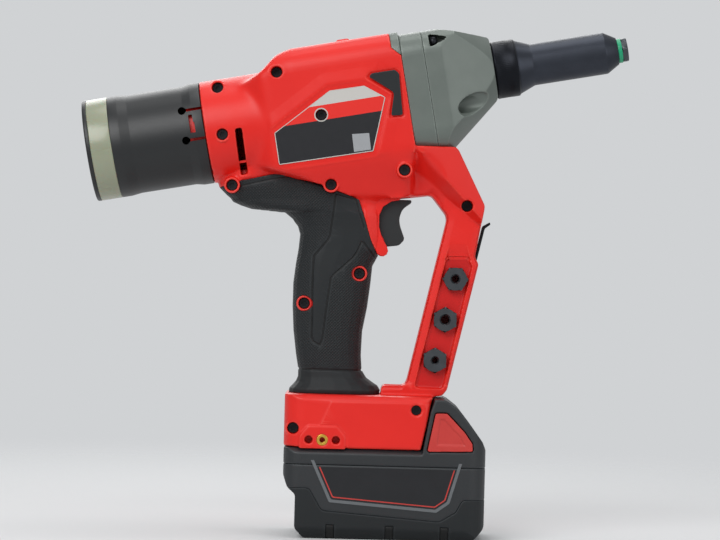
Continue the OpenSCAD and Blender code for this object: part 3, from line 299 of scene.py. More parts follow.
# Each screw's x and z, and the half width of the flank it sinks into
SCREWS = [
    (-108, 269.4, 0.45 * BARREL_R), (-103.8, 240.8, BARREL_R), (-72.1, 279, BODY_HW - 4),
    (-97.6, 210.7, 20), (-37.7, 212.4, 26), (-44.6, 253.9, BODY_HW - 0.3),
    (6.4, 222.2, BODY_HW - 2), (44.9, 201.8, GUARD_HW - 0.3), (-52.2, 140.4, GRIP_HW - 3.2),
    (-19.2, 159.2, GRIP_HW - 3.2), (17, 78.2, FOOT_HW), (-56.6, 65.6, FOOT_HW - 4),
]
LABEL_SCREW, GRIP_POSTS = SCREWS[5], SCREWS[8:10]
VENT = barrel_outline((-101.2, -39.2), (-97, -39.2), (-95.9, -11.6), (-100.1, -11.6))
LABEL = barrel_outline((-77.2, -37.4), (-20, -38.1), (-7.8, -7.2), (-19.3, 1.6), (-40.4, 1.9),
                       (-70, -14.3), (-77, -18))
BUMPER = barrel_outline((-6.2, -18.8), (0.8, -19.4), (2.5, 5.7), (0.4, 8.2), (-13.8, 8.2), (-15.8, 6.5),
                        (-2.2, -5.2))
CASE_TAB = barrel_outline((0.4, 45), (0.4, 21.5), (5.3, 16.5), (9, 16.5), (9, 45))
STORE, STORE_DEEP = [(15.8, 91), (33, 90.6), (49, 166), (46, 170), (33.4, 170)], 2.4
LEG_REAR = [(23.1, 207.8), (32.3, 196.3), (33, 192.9), (11.4, 95.7)]
LEG_FRONT = [(35.7, 90.2), (52.9, 166.7), (50.6, 171.1), (55.5, 200.6), (55.5, 202.4), (39, 234.9)]
BEVEL_DEEP, BEVEL_W = 1.1, 4.4
RAMP = [(32.6, 168.5), (47.8, 168.5), (45, 179), (35.4, 179)]
RAMP_TOP, RAMP_L, RAMP_DEEP = 179, 9.5, 2.2
RUBBER = [(-130, 80), (10, 80), (10, 160), (-8.8, 171.1), (-12.9, 179.7), (-16.1, 190.4), (-21.4, 206.8),
          (-33.1, 209.9), (-42, 214.5), (-63.6, 220.1), (-94.5, 213.1), (-130, 201)]
CORE_DEEP, POST_R, POST_DEEP = 0.6, 6, 2.5
HOOK_HOLES, HOOK_HOLE_R, HOOK_HOLE_DEEP = [(-47.1, 59.1), (-30.7, 59.1)], 2, 4
FOOT_PANEL = [(-34, 82.4), (-40.2, 68.4), (-29.8, 68.4), (-24, 61.4), (-24, 50), (30, 50), (30, 82.4)]
PANEL_RISE, RIM_RISE = 0.5, 0.6
HUMP_NUB_X, NUB_HALF_L, NUB_HW, NUB_RISE = -33, 4.6, 13.5, 1.5
# Where surfaces flow: the barrel's end along t, the keel's height w, the throat over the guard, the strip
JOIN_T, KEEL_W, THROAT_X, THROAT_TOP = (-101, -60), -42, (5, 32), 233
STRIP_X, STRIP_Z, STRIP_TIP = (-26, -1), 204, (-4.5, 172.5)
LOBE_X, LOBE_Z = -48, (182, 203)


def flat_plate(name, outline, y0, y1, hole=()):
    """A flat plate from an outline in x and z, with one hole at most, in mm."""
    mesh = bpy.data.meshes.new(name)
    with reworked(mesh) as shape:
        edges = []
        for loop in (outline, hole):
            corners = [shape.verts.new((x * MM, y0 * MM, z * MM)) for x, z in loop]
            edges += [shape.edges.new((a, b)) for a, b in zip(corners, corners[1:] + corners[:1])]
        front = bmesh.ops.triangle_fill(shape, edges=edges, use_beauty=True)["geom"]
        front = [f for f in front if isinstance(f, bmesh.types.BMFace)]
        grown = bmesh.ops.extrude_face_region(shape, geom=front)["geom"]
        bmesh.ops.translate(shape, verts=[v for v in grown if isinstance(v, bmesh.types.BMVert)],
                            vec=(0, (y1 - y0) * MM, 0))
        bmesh.ops.recalc_face_normals(shape, faces=shape.faces)
    return link(name, mesh)


def inside_depth(points, outline):
    """Each point's distance from an outline in x and z, above zero inside it."""
    return path_distance(points, outline + outline[:1]) * np.where(in_outline(points, outline), 1, -1)


def housing_flow(points):
    """Where the barrel flows into the flank and the hump, the body into the guard and the trigger's strip."""
    t, w = barrel_place(points)
    x, z, side = points[:, 0], points[:, 2], np.abs(points[:, 1])
    neck = fraction(t - JOIN_T[0], 5) * fraction(JOIN_T[1] - t, 6) * fraction(side - 8, 4) * (w > -48)
    keel = np.clip(1.5 - np.abs(w - KEEL_W) / 6, 0, 1) * fraction(side - 16, 3) * (t < 4)
    throat = fraction(x - THROAT_X[0], 4) * fraction(THROAT_X[1] - x, 4)
    throat *= fraction(THROAT_TOP - z, 3) * (z > 200)
    strip = fraction(STRIP_X[1] - x, 3) * fraction(x - STRIP_X[0], 4)
    strip *= np.clip(1.6 - np.abs(z - STRIP_Z) / 6, 0, 1)
    tip = np.clip(2 - away_from(points, STRIP_TIP) / 3, 0, 1)
    soft = np.maximum.reduce([neck, keel, throat * (side > 10), strip * (side > 12), tip])
    clear = fraction(path_distance(points, VENT + VENT[:1]) - 1.5, 2)
    for screw in SCREWS:
        clear = np.minimum(clear, fraction(away_from(points, screw) - 5, 2))
    return soft * clear


def under_lobe(points):
    """Each point's share of the underside of the lobe behind the grip."""
    low = fraction(LOBE_Z[1] - points[:, 2], 3) * fraction(points[:, 2] - LOBE_Z[0], 8)
    return low * fraction(LOBE_X - points[:, 0], 6)


def housing_relief(points):
    """Raised foot panel, hump nub and label rim; grooves round the bumpers, bevels along the guard, the
    ramp into the storage panel, deeper hook holes, and the core sunk a little under its rubber."""
    w = barrel_place(points)[1]
    x, y, z = points[:, 0], points[:, 1], points[:, 2]
    side = np.abs(y)
    on_foot = fraction(side - FOOT_HW + 2.5, 1.5) * (z < 90) * (x < 26)
    rise = PANEL_RISE * on_foot * np.clip(0.5 + inside_depth(points, FOOT_PANEL) / 0.9, 0, 1)
    nub = np.clip(NUB_HALF_L - np.abs(x - HUMP_NUB_X), 0, NUB_RISE) * (w > 29)
    rise += nub * np.clip(NUB_HW - side, 0, 1)
    on_flank = fraction(side - BODY_HW + 1.2, 0.8) * (z > 200)
    off_label = -inside_depth(points, LABEL)
    rim = fraction(off_label - 2.2, 1.3) * fraction(11 - off_label, 6)
    in_bumper = inside_depth(points, BUMPER)
    groove = np.clip(1.3 - np.abs(in_bumper), 0, 1)
    off_bumper = np.clip(-in_bumper - 1, 0, 1)
    rise += RIM_RISE * on_flank * (rim * (y < 0) * off_bumper - groove)
    on_leg = fraction(side - GUARD_HW + 2.4, 1.2) * (side < GUARD_HW + 1) * (z > 93)
    to_edge = np.minimum(path_distance(points, LEG_REAR), path_distance(points, LEG_FRONT))
    in_store = inside_depth(points, STORE)
    rise -= BEVEL_DEEP * on_leg * np.clip(1 - to_edge / BEVEL_W, 0, 1) * (in_store < 0)
    ramp = fraction(RAMP_TOP - z, RAMP_L) * np.clip(inside_depth(points, RAMP) / 1.2 + 0.3, 0, 1)
    rise -= RAMP_DEEP * ramp * on_leg * (y < 0) * (in_store < 0.3)
    core = np.clip(inside_depth(points, RUBBER) - 1, 0, 1) * (side < 20) * (z > 90)
    for screw in SCREWS:
        core = core * ((away_from(points, screw) > 5.6) | (y > 0))
    for hole in HOOK_HOLES:
        deep = (away_from(points, hole) < HOOK_HOLE_R) & (side < FOOT_HW - 3.5) & (side > FOOT_HW - 8)
        rise = np.where(deep, -HOOK_HOLE_DEEP, rise)
    rise -= CORE_DEEP * core * (1 - under_lobe(points))
    for screw in GRIP_POSTS:
        rise = np.where((away_from(points, screw) < POST_R) & (y > 6), -POST_DEEP, rise)
    return rise


# Red glass-filled nylon: satin, a little paler on edges, partly rubbed and partly a painted edge highlight, and
# deeper in sunk fields and as painted shade on the grip's post ends; the mould's eroded grain is drawn at 0.9 mm
# to show
GRAIN = 0.9
LOW, HIGH, MIXED = 6, 7, 2  # a Mix node's colour sockets, which share their names with its other ones
nylon_red, tree = blank_material("glass_filled_nylon_red")
place = add(tree, "ShaderNodeTexCoord").outputs["Object"]
grain = add(tree, "ShaderNodeTexNoise", {"Vector": place, "Scale": 1 / (GRAIN * MM), "Detail": 3})
tone = add(tree, "ShaderNodeTexNoise", {"Vector": place, "Scale": 1 / (30 * MM), "Detail": 2})
body_tone = add(tree, "ShaderNodeMix", {
    "Factor": tone.outputs["Fac"], LOW: colour("#E01B13"), HIGH: colour("#EC2419")}, data_type="RGBA")
worn = add(tree, "ShaderNodeTexNoise", {"Vector": place, "Scale": 1 / (5 * MM), "Detail": 4})
# Edges paler in patches: partly rubbed wear, partly a painted edge highlight
edge = add(tree, "ShaderNodeAttribute", attribute_name="edge")
worn_and_lit_edge = add(tree, "ShaderNodeMath", {0: edge.outputs["Fac"], 1: worn.outputs["Fac"]}, operation="MULTIPLY")
sunk_field_and_shade = add(tree, "ShaderNodeAttribute", attribute_name="sunk")
# Deeper red in the sunk field, and painted shade on the grip's post ends
sunk_and_shaded_tone = add(tree, "ShaderNodeMix", {
    "Factor": sunk_field_and_shade.outputs["Fac"], LOW: body_tone.outputs[MIXED], HIGH: colour("#CC0F0C")}, data_type="RGBA")
skin = add(tree, "ShaderNodeMix", {
    "Factor": worn_and_lit_edge.outputs[0], LOW: sunk_and_shaded_tone.outputs[MIXED], HIGH: colour("#F05446")}, data_type="RGBA")
gloss = add(tree, "ShaderNodeMapRange", {"Value": grain.outputs["Fac"], "To Min": 0.34, "To Max": 0.48})
bump = add(tree, "ShaderNodeBump", {"Height": grain.outputs["Fac"], "Strength": 0.3, "Distance": 0.05 * MM})
shader = add(tree, "ShaderNodeBsdfPrincipled", {
    "Base Color": skin.outputs[MIXED], "Roughness": gloss.outputs[0], "Normal": bump.outputs[0],
    "IOR": 1.5, "Specular IOR Level": 0.4})
add(tree, "ShaderNodeOutputMaterial", {"Surface": shader.outputs[0]})

tab_room = flat_plate("tab_room", CASE_TAB, -60, 60)
for side, name in SIDES:
    shell = eased_copy("housing_shell_" + name, "housing_" + name, 0.6, 6, cut=[("DIFFERENCE", tab_room)],
                       seam=side, restore=true_barrel, soft=housing_flow, relief=housing_relief)
    points = points_of(shell.data)
    floor = (points[:, 1] < 0.6 * STORE_DEEP - GUARD_HW) | (np.abs(points[:, 1]) > GUARD_HW + 1)
    sunk = np.clip(inside_depth(points, STORE), 0, 1) * ~floor
    # Painted shade: the grip's post ends take the sunk field's deeper red, for the shade down in their wells
    for screw in GRIP_POSTS:
        sunk = np.maximum(sunk, away_from(points, screw) < 5.5)
    write_share(shell.data, "sunk", sunk)
    show(shell, nylon_red, "red_nylon", "tool", "housing_" + name)

# Vent rib: a short bar of the same red nylon, moulded with the right half. It bridges the long vent
# slot in its lower half.
VENT_RIB = barrel_outline((-101.4, -32.2), (-96.2, -32.2), (-96.2, -30.8), (-101.4, -30.8))
RIB_Y = (-20, -17.8)
rib = flat_plate("vent_rib", VENT_RIB, *RIB_Y)
show(rib, nylon_red, "red_nylon", "tool")

# Grip: thermoplastic rubber moulded over the nylon core, with a stepped top border, a groove round
# a smooth palm panel, a fine diamond texture outside the panel and a groove over the flared base.
PALM_GROOVE = [
    (-34.9, 206.9), (-35.6, 198.4), (-37.6, 182.1), (-38.9, 179), (-47.2, 169.1), (-47.5, 153.6), (-47.1, 119.9),
    (-46, 117.5), (-42.1, 115.4), (-40.7, 119.1), (-38, 144.2), (-36.4, 155.9), (-35.1, 157.9), (-23.3, 168.7),
    (-21.4, 171.6), (-18.2, 178.5), (-16.9, 178.1), (-10.8, 170.1),
]
PALM_PANEL = PALM_GROOVE + [(-4, 172), (-14, 190), (-21, 206)]
TOP_STEP = [(-99, 209), (-93, 210.3), (-63.6, 217.2), (-42.8, 211.7), (-34, 207), (-22.4, 204), (-17, 187)]
BASE_GROOVE_Z = 100.5
PALM_HALF, STEP_HALF, BASE_HALF = 0.85, 0.8, 0.8
GROOVE_DEEP, LOBE_RISE = 0.75, 1.1
PLUG_R, PLUG_Y, PLUG_SIDES = 5, (5, 12.6), 32


def grooves(points):
    """Each point's share of the grooves pressed into the rubber."""
    palm = np.clip(1 - path_distance(points, PALM_GROOVE) / PALM_HALF, 0, 1)
    step = np.clip(1 - path_distance(points, TOP_STEP) / STEP_HALF, 0, 1)
    base = np.clip(1 - np.abs(points[:, 2] - BASE_GROOVE_Z) / BASE_HALF, 0, 1)
    on_skin = np.abs(points[:, 1]) > 3
    return np.maximum(np.maximum(palm, 0.8 * step) * on_skin, base)


def grip_relief(points):
    """The grooves, and the rubber raised under the lobe so that it covers the core."""
    return LOBE_RISE * under_lobe(points) - GROOVE_DEEP * grooves(points)


def post_cover(points):
    """Where the rubber is smoothed over the left half's post ends."""
    share = np.zeros(len(points))
    for screw in GRIP_POSTS:
        share = np.maximum(share, fraction(9.5 - away_from(points, screw), 2.5))
    return share * (points[:, 1] > 4)


def circle(x, z, radius, steps):
    """A round outline in x and z."""
    return [(x + radius * math.cos(2 * math.pi * k / steps), z + radius * math.sin(2 * math.pi * k / steps))
            for k in range(steps)]


# Black thermoplastic rubber: matt and a little greasy; its moulded diamonds and its grain are drawn at 1.3
# and 0.6 mm to show
DIAMOND, RUBBER_GRAIN = 1.3, 0.6
rubber_black, tree = blank_material("thermoplastic_rubber_black")
place = add(tree, "ShaderNodeTexCoord").outputs["Object"]
waves = []
for lean in (-45, 45):
    leaned = add(tree, "ShaderNodeMapping", {"Vector": place, "Rotation": (0, math.radians(lean), 0)})
    waves.append(add(tree, "ShaderNodeTexWave", {
        "Vector": leaned.outputs[0], "Scale": math.pi / (10 * DIAMOND * MM)},
        wave_type="BANDS", bands_direction="X", wave_profile="SIN").outputs["Fac"])
diamonds = add(tree, "ShaderNodeMath", {0: waves[0], 1: waves[1]}, operation="MULTIPLY")
ribbed = add(tree, "ShaderNodeAttribute", attribute_name="ribbed")
pressed = add(tree, "ShaderNodeMath", {0: diamonds.outputs[0], 1: ribbed.outputs["Fac"]}, operation="MULTIPLY")
grain = add(tree, "ShaderNodeTexNoise", {"Vector": place, "Scale": 1 / (RUBBER_GRAIN * MM), "Detail": 2})
tone = add(tree, "ShaderNodeTexNoise", {"Vector": place, "Scale": 1 / (18 * MM), "Detail": 3})
edge = add(tree, "ShaderNodeAttribute", attribute_name="edge")
base_tone = add(tree, "ShaderNodeMix", {
    "Factor": tone.outputs["Fac"], LOW: colour("#0E1315"), HIGH: colour("#151A1D")}, data_type="RGBA")
lit_tone = add(tree, "ShaderNodeMix", {
    "Factor": edge.outputs["Fac"], LOW: base_tone.outputs[MIXED], HIGH: colour("#262A2D")}, data_type="RGBA")
# Painted shade: the grooves and the boot's notches are painted nearly black, for the shade that falls in them
groove = add(tree, "ShaderNodeAttribute", attribute_name="groove")
skin = add(tree, "ShaderNodeMix", {
    "Factor": groove.outputs["Fac"], LOW: lit_tone.outputs[MIXED], HIGH: colour("#040505")}, data_type="RGBA")
fine = add(tree, "ShaderNodeBump", {"Height": grain.outputs["Fac"], "Strength": 0.35, "Distance": 0.05 * MM})
bump = add(tree, "ShaderNodeBump", {"Height": pressed.outputs[0], "Strength": 1.0, "Distance": 0.3 * MM,
                                    "Normal": fine.outputs[0]})
gloss = add(tree, "ShaderNodeMapRange", {"Value": tone.outputs["Fac"], "To Min": 0.5, "To Max": 0.68})
shader = add(tree, "ShaderNodeBsdfPrincipled", {
    "Base Color": skin.outputs[MIXED], "Roughness": gloss.outputs[0], "Normal": bump.outputs[0],
    "Sheen Weight": 0.04, "Sheen Roughness": 0.5, "IOR": 1.5, "Specular IOR Level": 0.4})
add(tree, "ShaderNodeOutputMaterial", {"Surface": shader.outputs[0]})

plugs = [flat_plate("post_plug", circle(*post[:2], PLUG_R, PLUG_SIDES), *PLUG_Y) for post in GRIP_POSTS]
for side, name in SIDES:
    cover = [("UNION", plug) for plug in plugs if side > 0]
    grip = eased_copy("grip_skin_" + name, "grip_" + name, 0.45, 5, limit=120000, cut=cover, seam=side,
                      soft=post_cover, relief=grip_relief)
    points = points_of(grip.data)
    textured = ~in_outline(points, PALM_PANEL) & (points[:, 2] > BASE_GROOVE_Z + 2)
    textured &= path_distance(points, PALM_GROOVE) > 1.6
    textured &= (path_distance(points, TOP_STEP) > 2) & ~(points[:, 2] > 216)
    write_share(grip.data, "ribbed", textured)
    # Painted shade along the grooves
    write_share(grip.data, "groove", np.clip(1.4 * grooves(points), 0, 1))
    show(grip, rubber_black, "grip_rubber", "tool", "grip_" + name)
for plug in plugs:
    bpy.data.objects.remove(plug)

# Bumper strips: bent inlays of the same rubber without its diamonds, pressed into a channel in each
# flank, to guard it when the tool is laid down.
for name in ("right", "left"):
    strip = eased_copy("bumper_strip_" + name, "bumper_" + name, 0.25, 4, limit=30000)
    write_share(strip.data, "ribbed")
    show(strip, rubber_black, "grip_rubber", "tool", "bumper_" + name)

# Rating label: printed polyester film stuck to the right flank, bare of words: a pale border, then
# white, red and black bands along the barrel and one small silver square.
LABEL_Y, FILM = -33.3, 0.05
PRINT = barrel_outline((-76.7, -36.9), (-20.4, -37.6), (-8.4, -7.4), (-19.5, 1.1), (-40.2, 1.4),
                       (-69.7, -14.6), (-76.5, -18.3))
PRINT_HOLE_R, PRINT_HOLE_SIDES = 4.2, 48
BLACK_TOP, RED_TOP = -14.9, -6
SQUARE = [(-25.8, 242.8), (-15.6, 243.7), (-14.2, 233.8), (-24.3, 232.1)]
PLAIN_GRAIN = 0.7  # the fine grain of plain plastics and prints, drawn as coarse as it needs to show


def patchy_finish(name, patch, detail, low, high, rough, grain=0, surface=None):
    """A plain plastic, film or print: two close tones in patches of some mm, and a fine bump if it has a grain.

    rough is one roughness, or the two between which it follows the patches.
    """
    material, tree = blank_material(name)
    place = add(tree, "ShaderNodeTexCoord").outputs["Object"]
    cloud = add(tree, "ShaderNodeTexNoise", {"Vector": place, "Scale": 1 / (patch * MM), "Detail": detail})
    tint = add(tree, "ShaderNodeMix", {
        "Factor": cloud.outputs["Fac"], LOW: colour(low), HIGH: colour(high)}, data_type="RGBA")
    looks = {"Base Color": tint.outputs[MIXED], "Roughness": rough, **(surface or {})}
    if isinstance(rough, tuple):
        gloss = add(tree, "ShaderNodeMapRange", {
            "Value": cloud.outputs["Fac"], "To Min": rough[0], "To Max": rough[1]})
        looks["Roughness"] = gloss.outputs[0]
    if grain:
        fine = add(tree, "ShaderNodeTexNoise", {"Vector": place, "Scale": 1 / (grain * MM), "Detail": 2})
        bump = add(tree, "ShaderNodeBump", {
            "Height": fine.outputs["Fac"], "Strength": 0.25, "Distance": 0.03 * MM})
        looks["Normal"] = bump.outputs[0]
    shader = add(tree, "ShaderNodeBsdfPrincipled", looks)
    add(tree, "ShaderNodeOutputMaterial", {"Surface": shader.outputs[0]})
    return material


def dress(finish, *nodes):
    """Give CAD nodes that stay a finish."""
    for node in nodes:
        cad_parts[node].data.materials.clear()
        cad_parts[node].data.materials.append(finish)


# Pale polyester film: satin, hardly mottled
film_pale = patchy_finish("polyester_film_pale", 4, 2, "#B9B6B0", "#CBC8C2", 0.42)
dress(film_pale, "rating_label")

# Printed film: flat inks under a satin varnish, in bands that follow the barrel's tilt
film_printed, tree = blank_material("polyester_film_printed")
place = add(tree, "ShaderNodeTexCoord").outputs["Object"]
level = add(tree, "ShaderNodeMapping", {"Vector": place, "Location": (0, 0, -SPINDLE_Z * MM)})
sloped = add(tree, "ShaderNodeMapping", {"Vector": level.outputs[0], "Rotation": (0, TILT, 0)})
height = add(tree, "ShaderNodeSeparateXYZ", {0: sloped.outputs[0]}).outputs["Z"]
varnish = add(tree, "ShaderNodeTexNoise", {"Vector": place, "Scale": 1 / (3 * MM), "Detail": 3})
over_black = add(tree, "ShaderNodeMath", {0: height, 1: BLACK_TOP * MM}, operation="GREATER_THAN")
over_red = add(tree, "ShaderNodeMath", {0: height, 1: RED_TOP * MM}, operation="GREATER_THAN")
lower = add(tree, "ShaderNodeMix", {
    "Factor": over_black.outputs[0], LOW: colour("#121318"), HIGH: colour("#E8281E")}, data_type="RGBA")
inks = add(tree, "ShaderNodeMix", {
    "Factor": over_red.outputs[0], LOW: lower.outputs[MIXED], HIGH: colour("#C9C6C1")}, data_type="RGBA")
gloss = add(tree, "ShaderNodeMapRange", {"Value": varnish.outputs["Fac"], "To Min": 0.28, "To Max": 0.42})
shader = add(tree, "ShaderNodeBsdfPrincipled", {"Base Color": inks.outputs[MIXED], "Roughness": gloss.outputs[0]})
add(tree, "ShaderNodeOutputMaterial", {"Surface": shader.outputs[0]})
print_sheet = flat_plate("rating_label_print", PRINT, LABEL_Y - FILM, LABEL_Y,
                         circle(*LABEL_SCREW[:2], PRINT_HOLE_R, PRINT_HOLE_SIDES))
show(print_sheet, film_printed, "label_film", "tool")

# Silver square: metallised film over the black band, finely crinkled
foil, tree = blank_material("metallised_film_silver")
place = add(tree, "ShaderNodeTexCoord").outputs["Object"]
crinkle = add(tree, "ShaderNodeTexNoise", {"Vector": place, "Scale": 1 / (1.2 * MM), "Detail": 2})
gloss = add(tree, "ShaderNodeMapRange", {"Value": crinkle.outputs["Fac"], "To Min": 0.3, "To Max": 0.5})
shader = add(tree, "ShaderNodeBsdfPrincipled", {"Base Color": colour("#A9ABAE"), "Metallic": 0.8,
                                                "Roughness": gloss.outputs[0]})
add(tree, "ShaderNodeOutputMaterial", {"Surface": shader.outputs[0]})
square = flat_plate("rating_label_square", SQUARE, LABEL_Y - 2 * FILM, LABEL_Y - FILM)
show(square, foil, "label_film", "tool")

# Housing screws: thread-forming steel screws with six-lobed sockets, phosphated dark, that draw the two
# halves together from the right; their heads sit deep in moulded wells.
SCREW_WELL = 6
screw_tree = bpy.data.node_groups.new("screw_heads", "GeometryNodeTree")
for name, kind in (("Geometry", "NodeSocketGeometry"), ("Head radius", "NodeSocketFloat"),
                   ("Head height", "NodeSocketFloat"), ("Socket radius", "NodeSocketFloat"),
                   ("Socket waist", "NodeSocketFloat"), ("Socket depth", "NodeSocketFloat"),
                   ("Lobes", "NodeSocketInt"), ("Turn", "NodeSocketRotation"), ("Finish", "NodeSocketMaterial")):
    screw_tree.interface.new_socket(name, in_out="INPUT", socket_type=kind)
screw_tree.interface.new_socket("Geometry", in_out="OUTPUT", socket_type="NodeSocketGeometry")
given = add(screw_tree, "NodeGroupInput").outputs
rim = add(screw_tree, "GeometryNodeCurvePrimitiveCircle", {"Resolution": 32, "Radius": given["Head radius"]})
lobes = add(screw_tree, "GeometryNodeCurveStar", {"Points": given["Lobes"], "Inner Radius": given["Socket waist"],
                                                  "Outer Radius": given["Socket radius"]})
top = add(screw_tree, "ShaderNodeCombineXYZ", {"Z": given["Head height"]})
sunk = add(screw_tree, "ShaderNodeMath", {0: given["Head height"], 1: given["Socket depth"]}, operation="SUBTRACT")
floor_at = add(screw_tree, "ShaderNodeCombineXYZ", {"Z": sunk.outputs[0]})
face = add(screw_tree, "GeometryNodeJoinGeometry")
screw_tree.links.new(rim.outputs["Curve"], face.inputs[0])
screw_tree.links.new(lobes.outputs["Curve"], face.inputs[0])
parts = []
for curve, lift in ((face.outputs[0], top), (rim.outputs["Curve"], None), (lobes.outputs["Curve"], floor_at)):
    parts.append((add(screw_tree, "GeometryNodeFillCurve", {"Curve": curve}).outputs[0], lift))
for curve, lift, height in ((rim.outputs["Curve"], None, given["Head height"]),
                            (lobes.outputs["Curve"], floor_at, given["Socket depth"])):
    wire = add(screw_tree, "GeometryNodeCurveToMesh", {"Curve": curve})
    pull = add(screw_tree, "ShaderNodeCombineXYZ", {"Z": height})
    wall = add(screw_tree, "GeometryNodeExtrudeMesh", {
        "Mesh": wire.outputs[0], "Offset": pull.outputs[0], "Offset Scale": 1.0}, mode="EDGES")
    parts.append((wall.outputs[0], lift))
head = add(screw_tree, "GeometryNodeJoinGeometry")
for part, lift in parts:
    if lift:
        part = add(screw_tree, "GeometryNodeTransform", {
            "Geometry": part, "Translation": lift.outputs[0]}).outputs[0]
    screw_tree.links.new(part, head.inputs[0])
closed = add(screw_tree, "GeometryNodeMergeByDistance", {"Geometry": head.outputs[0], "Distance": 0.001 * MM})
spread = add(screw_tree, "GeometryNodeInstanceOnPoints", {
    "Points": given["Geometry"], "Instance": closed.outputs[0], "Rotation": given["Turn"]})
real = add(screw_tree, "GeometryNodeRealizeInstances", {"Geometry": spread.outputs[0]})
finished = add(screw_tree, "GeometryNodeSetMaterial", {"Geometry": real.outputs[0], "Material": given["Finish"]})
add(screw_tree, "NodeGroupOutput", {"Geometry": finished.outputs[0]})


def turn_outwards(mesh, sliver=0.0):
    """Merge a mesh's doubles, dissolve what is thinner than a sliver in mm, and point its faces outwards."""
    with reworked(mesh) as shape:
        bmesh.ops.remove_doubles(shape, verts=shape.verts, dist=0.0005 * MM)
        if sliver:
            bmesh.ops.dissolve_degenerate(shape, edges=shape.edges, dist=sliver * MM)
        bmesh.ops.recalc_face_normals(shape, faces=shape.faces)


def set_screws(name, places, finish, turn, sizes):
    """Screw heads at these places in mm; sizes are the tree's inputs in mm, and a count of lobes."""
    mesh = bpy.data.meshes.new(name)
    mesh.from_pydata([Vector(p) * MM for p in places], [], [])
    piece = link(name, mesh)
    heads = piece.modifiers.new("Heads", "NODES")
    heads.node_group = screw_tree
    sockets = {s.name: s.identifier for s in screw_tree.interface.items_tree if s.in_out == "INPUT"}
    for key, value in sizes.items():
        heads[sockets[key]] = value if key == "Lobes" else value * MM
    heads[sockets["Turn"]] = turn
    heads[sockets["Finish"]] = finish
    bake(piece)
    turn_outwards(piece.data)
    return piece


STEEL_CLOUD, GLOSS_PLAY, PALER = 6, 0.07, 1.35


def steel_finish(name, code, rough, grain=0.7):
    """A metal surface: its colour, a roughness that wanders, and a fine bump of that grain in mm."""
    material, tree = blank_material(name)
    place = add(tree, "ShaderNodeTexCoord").outputs["Object"]
    cloud = add(tree, "ShaderNodeTexNoise", {"Vector": place, "Scale": 1 / (STEEL_CLOUD * MM), "Detail": 4})
    speck = add(tree, "ShaderNodeTexNoise", {"Vector": place, "Scale": 1 / (grain * MM), "Detail": 3})
    paler = [min(1, PALER * c) for c in colour(code)[:3]] + [1.0]
    tint = add(tree, "ShaderNodeMix", {"Factor": cloud.outputs["Fac"], LOW: colour(code), HIGH: paler},
               data_type="RGBA")
    gloss = add(tree, "ShaderNodeMapRange", {
        "Value": cloud.outputs["Fac"], "To Min": rough - GLOSS_PLAY, "To Max": rough + GLOSS_PLAY})
    bump = add(tree, "ShaderNodeBump", {"Height": speck.outputs["Fac"], "Strength": 0.4, "Distance": 0.03 * MM})
    shader = add(tree, "ShaderNodeBsdfPrincipled", {
        "Base Color": tint.outputs[MIXED], "Metallic": 1.0, "Roughness": gloss.outputs[0],
        "Normal": bump.outputs[0]})
    add(tree, "ShaderNodeOutputMaterial", {"Surface": shader.outputs[0]})
    return material


# Phosphated screw steel: dark grey and dull, speckled by its crystals, which are drawn at 0.7 mm to show
phosphated = steel_finish("phosphated_steel_dark", "#2C2D2F", 0.48)
SIX_LOBED = {"Head radius": 3, "Head height": 2.4, "Socket radius": 1.9, "Socket waist": 1.3,
             "Socket depth": 1.5, "Lobes": 6}
FACE_RIGHT = (math.radians(90), 0, 0)
heads = set_screws("housing_screw_heads", [(x, SCREW_WELL - flank, z) for x, z, flank in SCREWS], phosphated,
                   FACE_RIGHT, SIX_LOBED)
show(heads, phosphated, "black_steel", "tool", "housing_screws")

# Hook inserts: brass bushes turned from bar, with chamfered mouths and a plain bore, pressed into the
# foot from both sides to hold a belt hook.
HOOK_X, HOOK_Z, INSERT_R, INSERT_BORE, INSERT_L, INSERT_Y = -38.9, 59.1, 3.4, 1.65, 8, 38
SHARP_ANGLE = math.radians(32)


def rounded(outline, steps=4):
    """An outline of (a, b, radius) corners, with each corner's arc drawn in steps."""
    result = []
    for i, (x, y, radius) in enumerate(outline):
        here = Vector((x, y))
        back = (Vector(outline[i - 1][:2]) - here)
        ahead = (Vector(outline[(i + 1) % len(outline)][:2]) - here)
        if radius <= 0:
            result.append((x, y))
            continue
        back.normalize()
        ahead.normalize()
        half = back.angle(ahead) / 2
        centre = here + (back + ahead).normalized() * radius / math.sin(half)
        first = here + back * radius / math.tan(half) - centre
        last = here + ahead * radius / math.tan(half) - centre
        turn = first.angle_signed(last)
        for k in range(steps + 1):
            a = -turn * k / steps
            result.append((centre.x + first.x * math.cos(a) - first.y * math.sin(a),
                           centre.y + first.x * math.sin(a) + first.y * math.cos(a)))
    return result


def turned(name, profile, segments, origin, axis, up, bound=None):
    """A closed ring or plug turned about an axis; profile is (along, radius) in mm, bound limits a radius."""
    side = axis.cross(up)
    points, faces = [], []
    count = len(profile)
    for i in range(segments):
        a = 2 * math.pi * i / segments
        out = math.cos(a) * up + math.sin(a) * side
        for t, r in profile:
            points.append((origin + t * axis + (bound(t, r, a) if bound else r) * out) * MM)
        for k in range(count):
            j, n = (i + 1) % segments * count, (k + 1) % count
            faces.append((i * count + k, i * count + n, j + n, j + k))
    mesh = bpy.data.meshes.new(name)
    mesh.from_pydata(points, [], faces)
    turn_outwards(mesh, 0.0001)
    mesh.shade_smooth()
    mesh.set_sharp_from_angle(angle=SHARP_ANGLE)
    return link(name, mesh)


def join(name, pieces):
    """Several meshes as one piece."""
    mesh = bpy.data.meshes.new(name)
    with reworked(mesh) as shape:
        for piece in pieces:
            shape.from_mesh(piece.data)
            bpy.data.objects.remove(piece)
    return link(name, mesh)


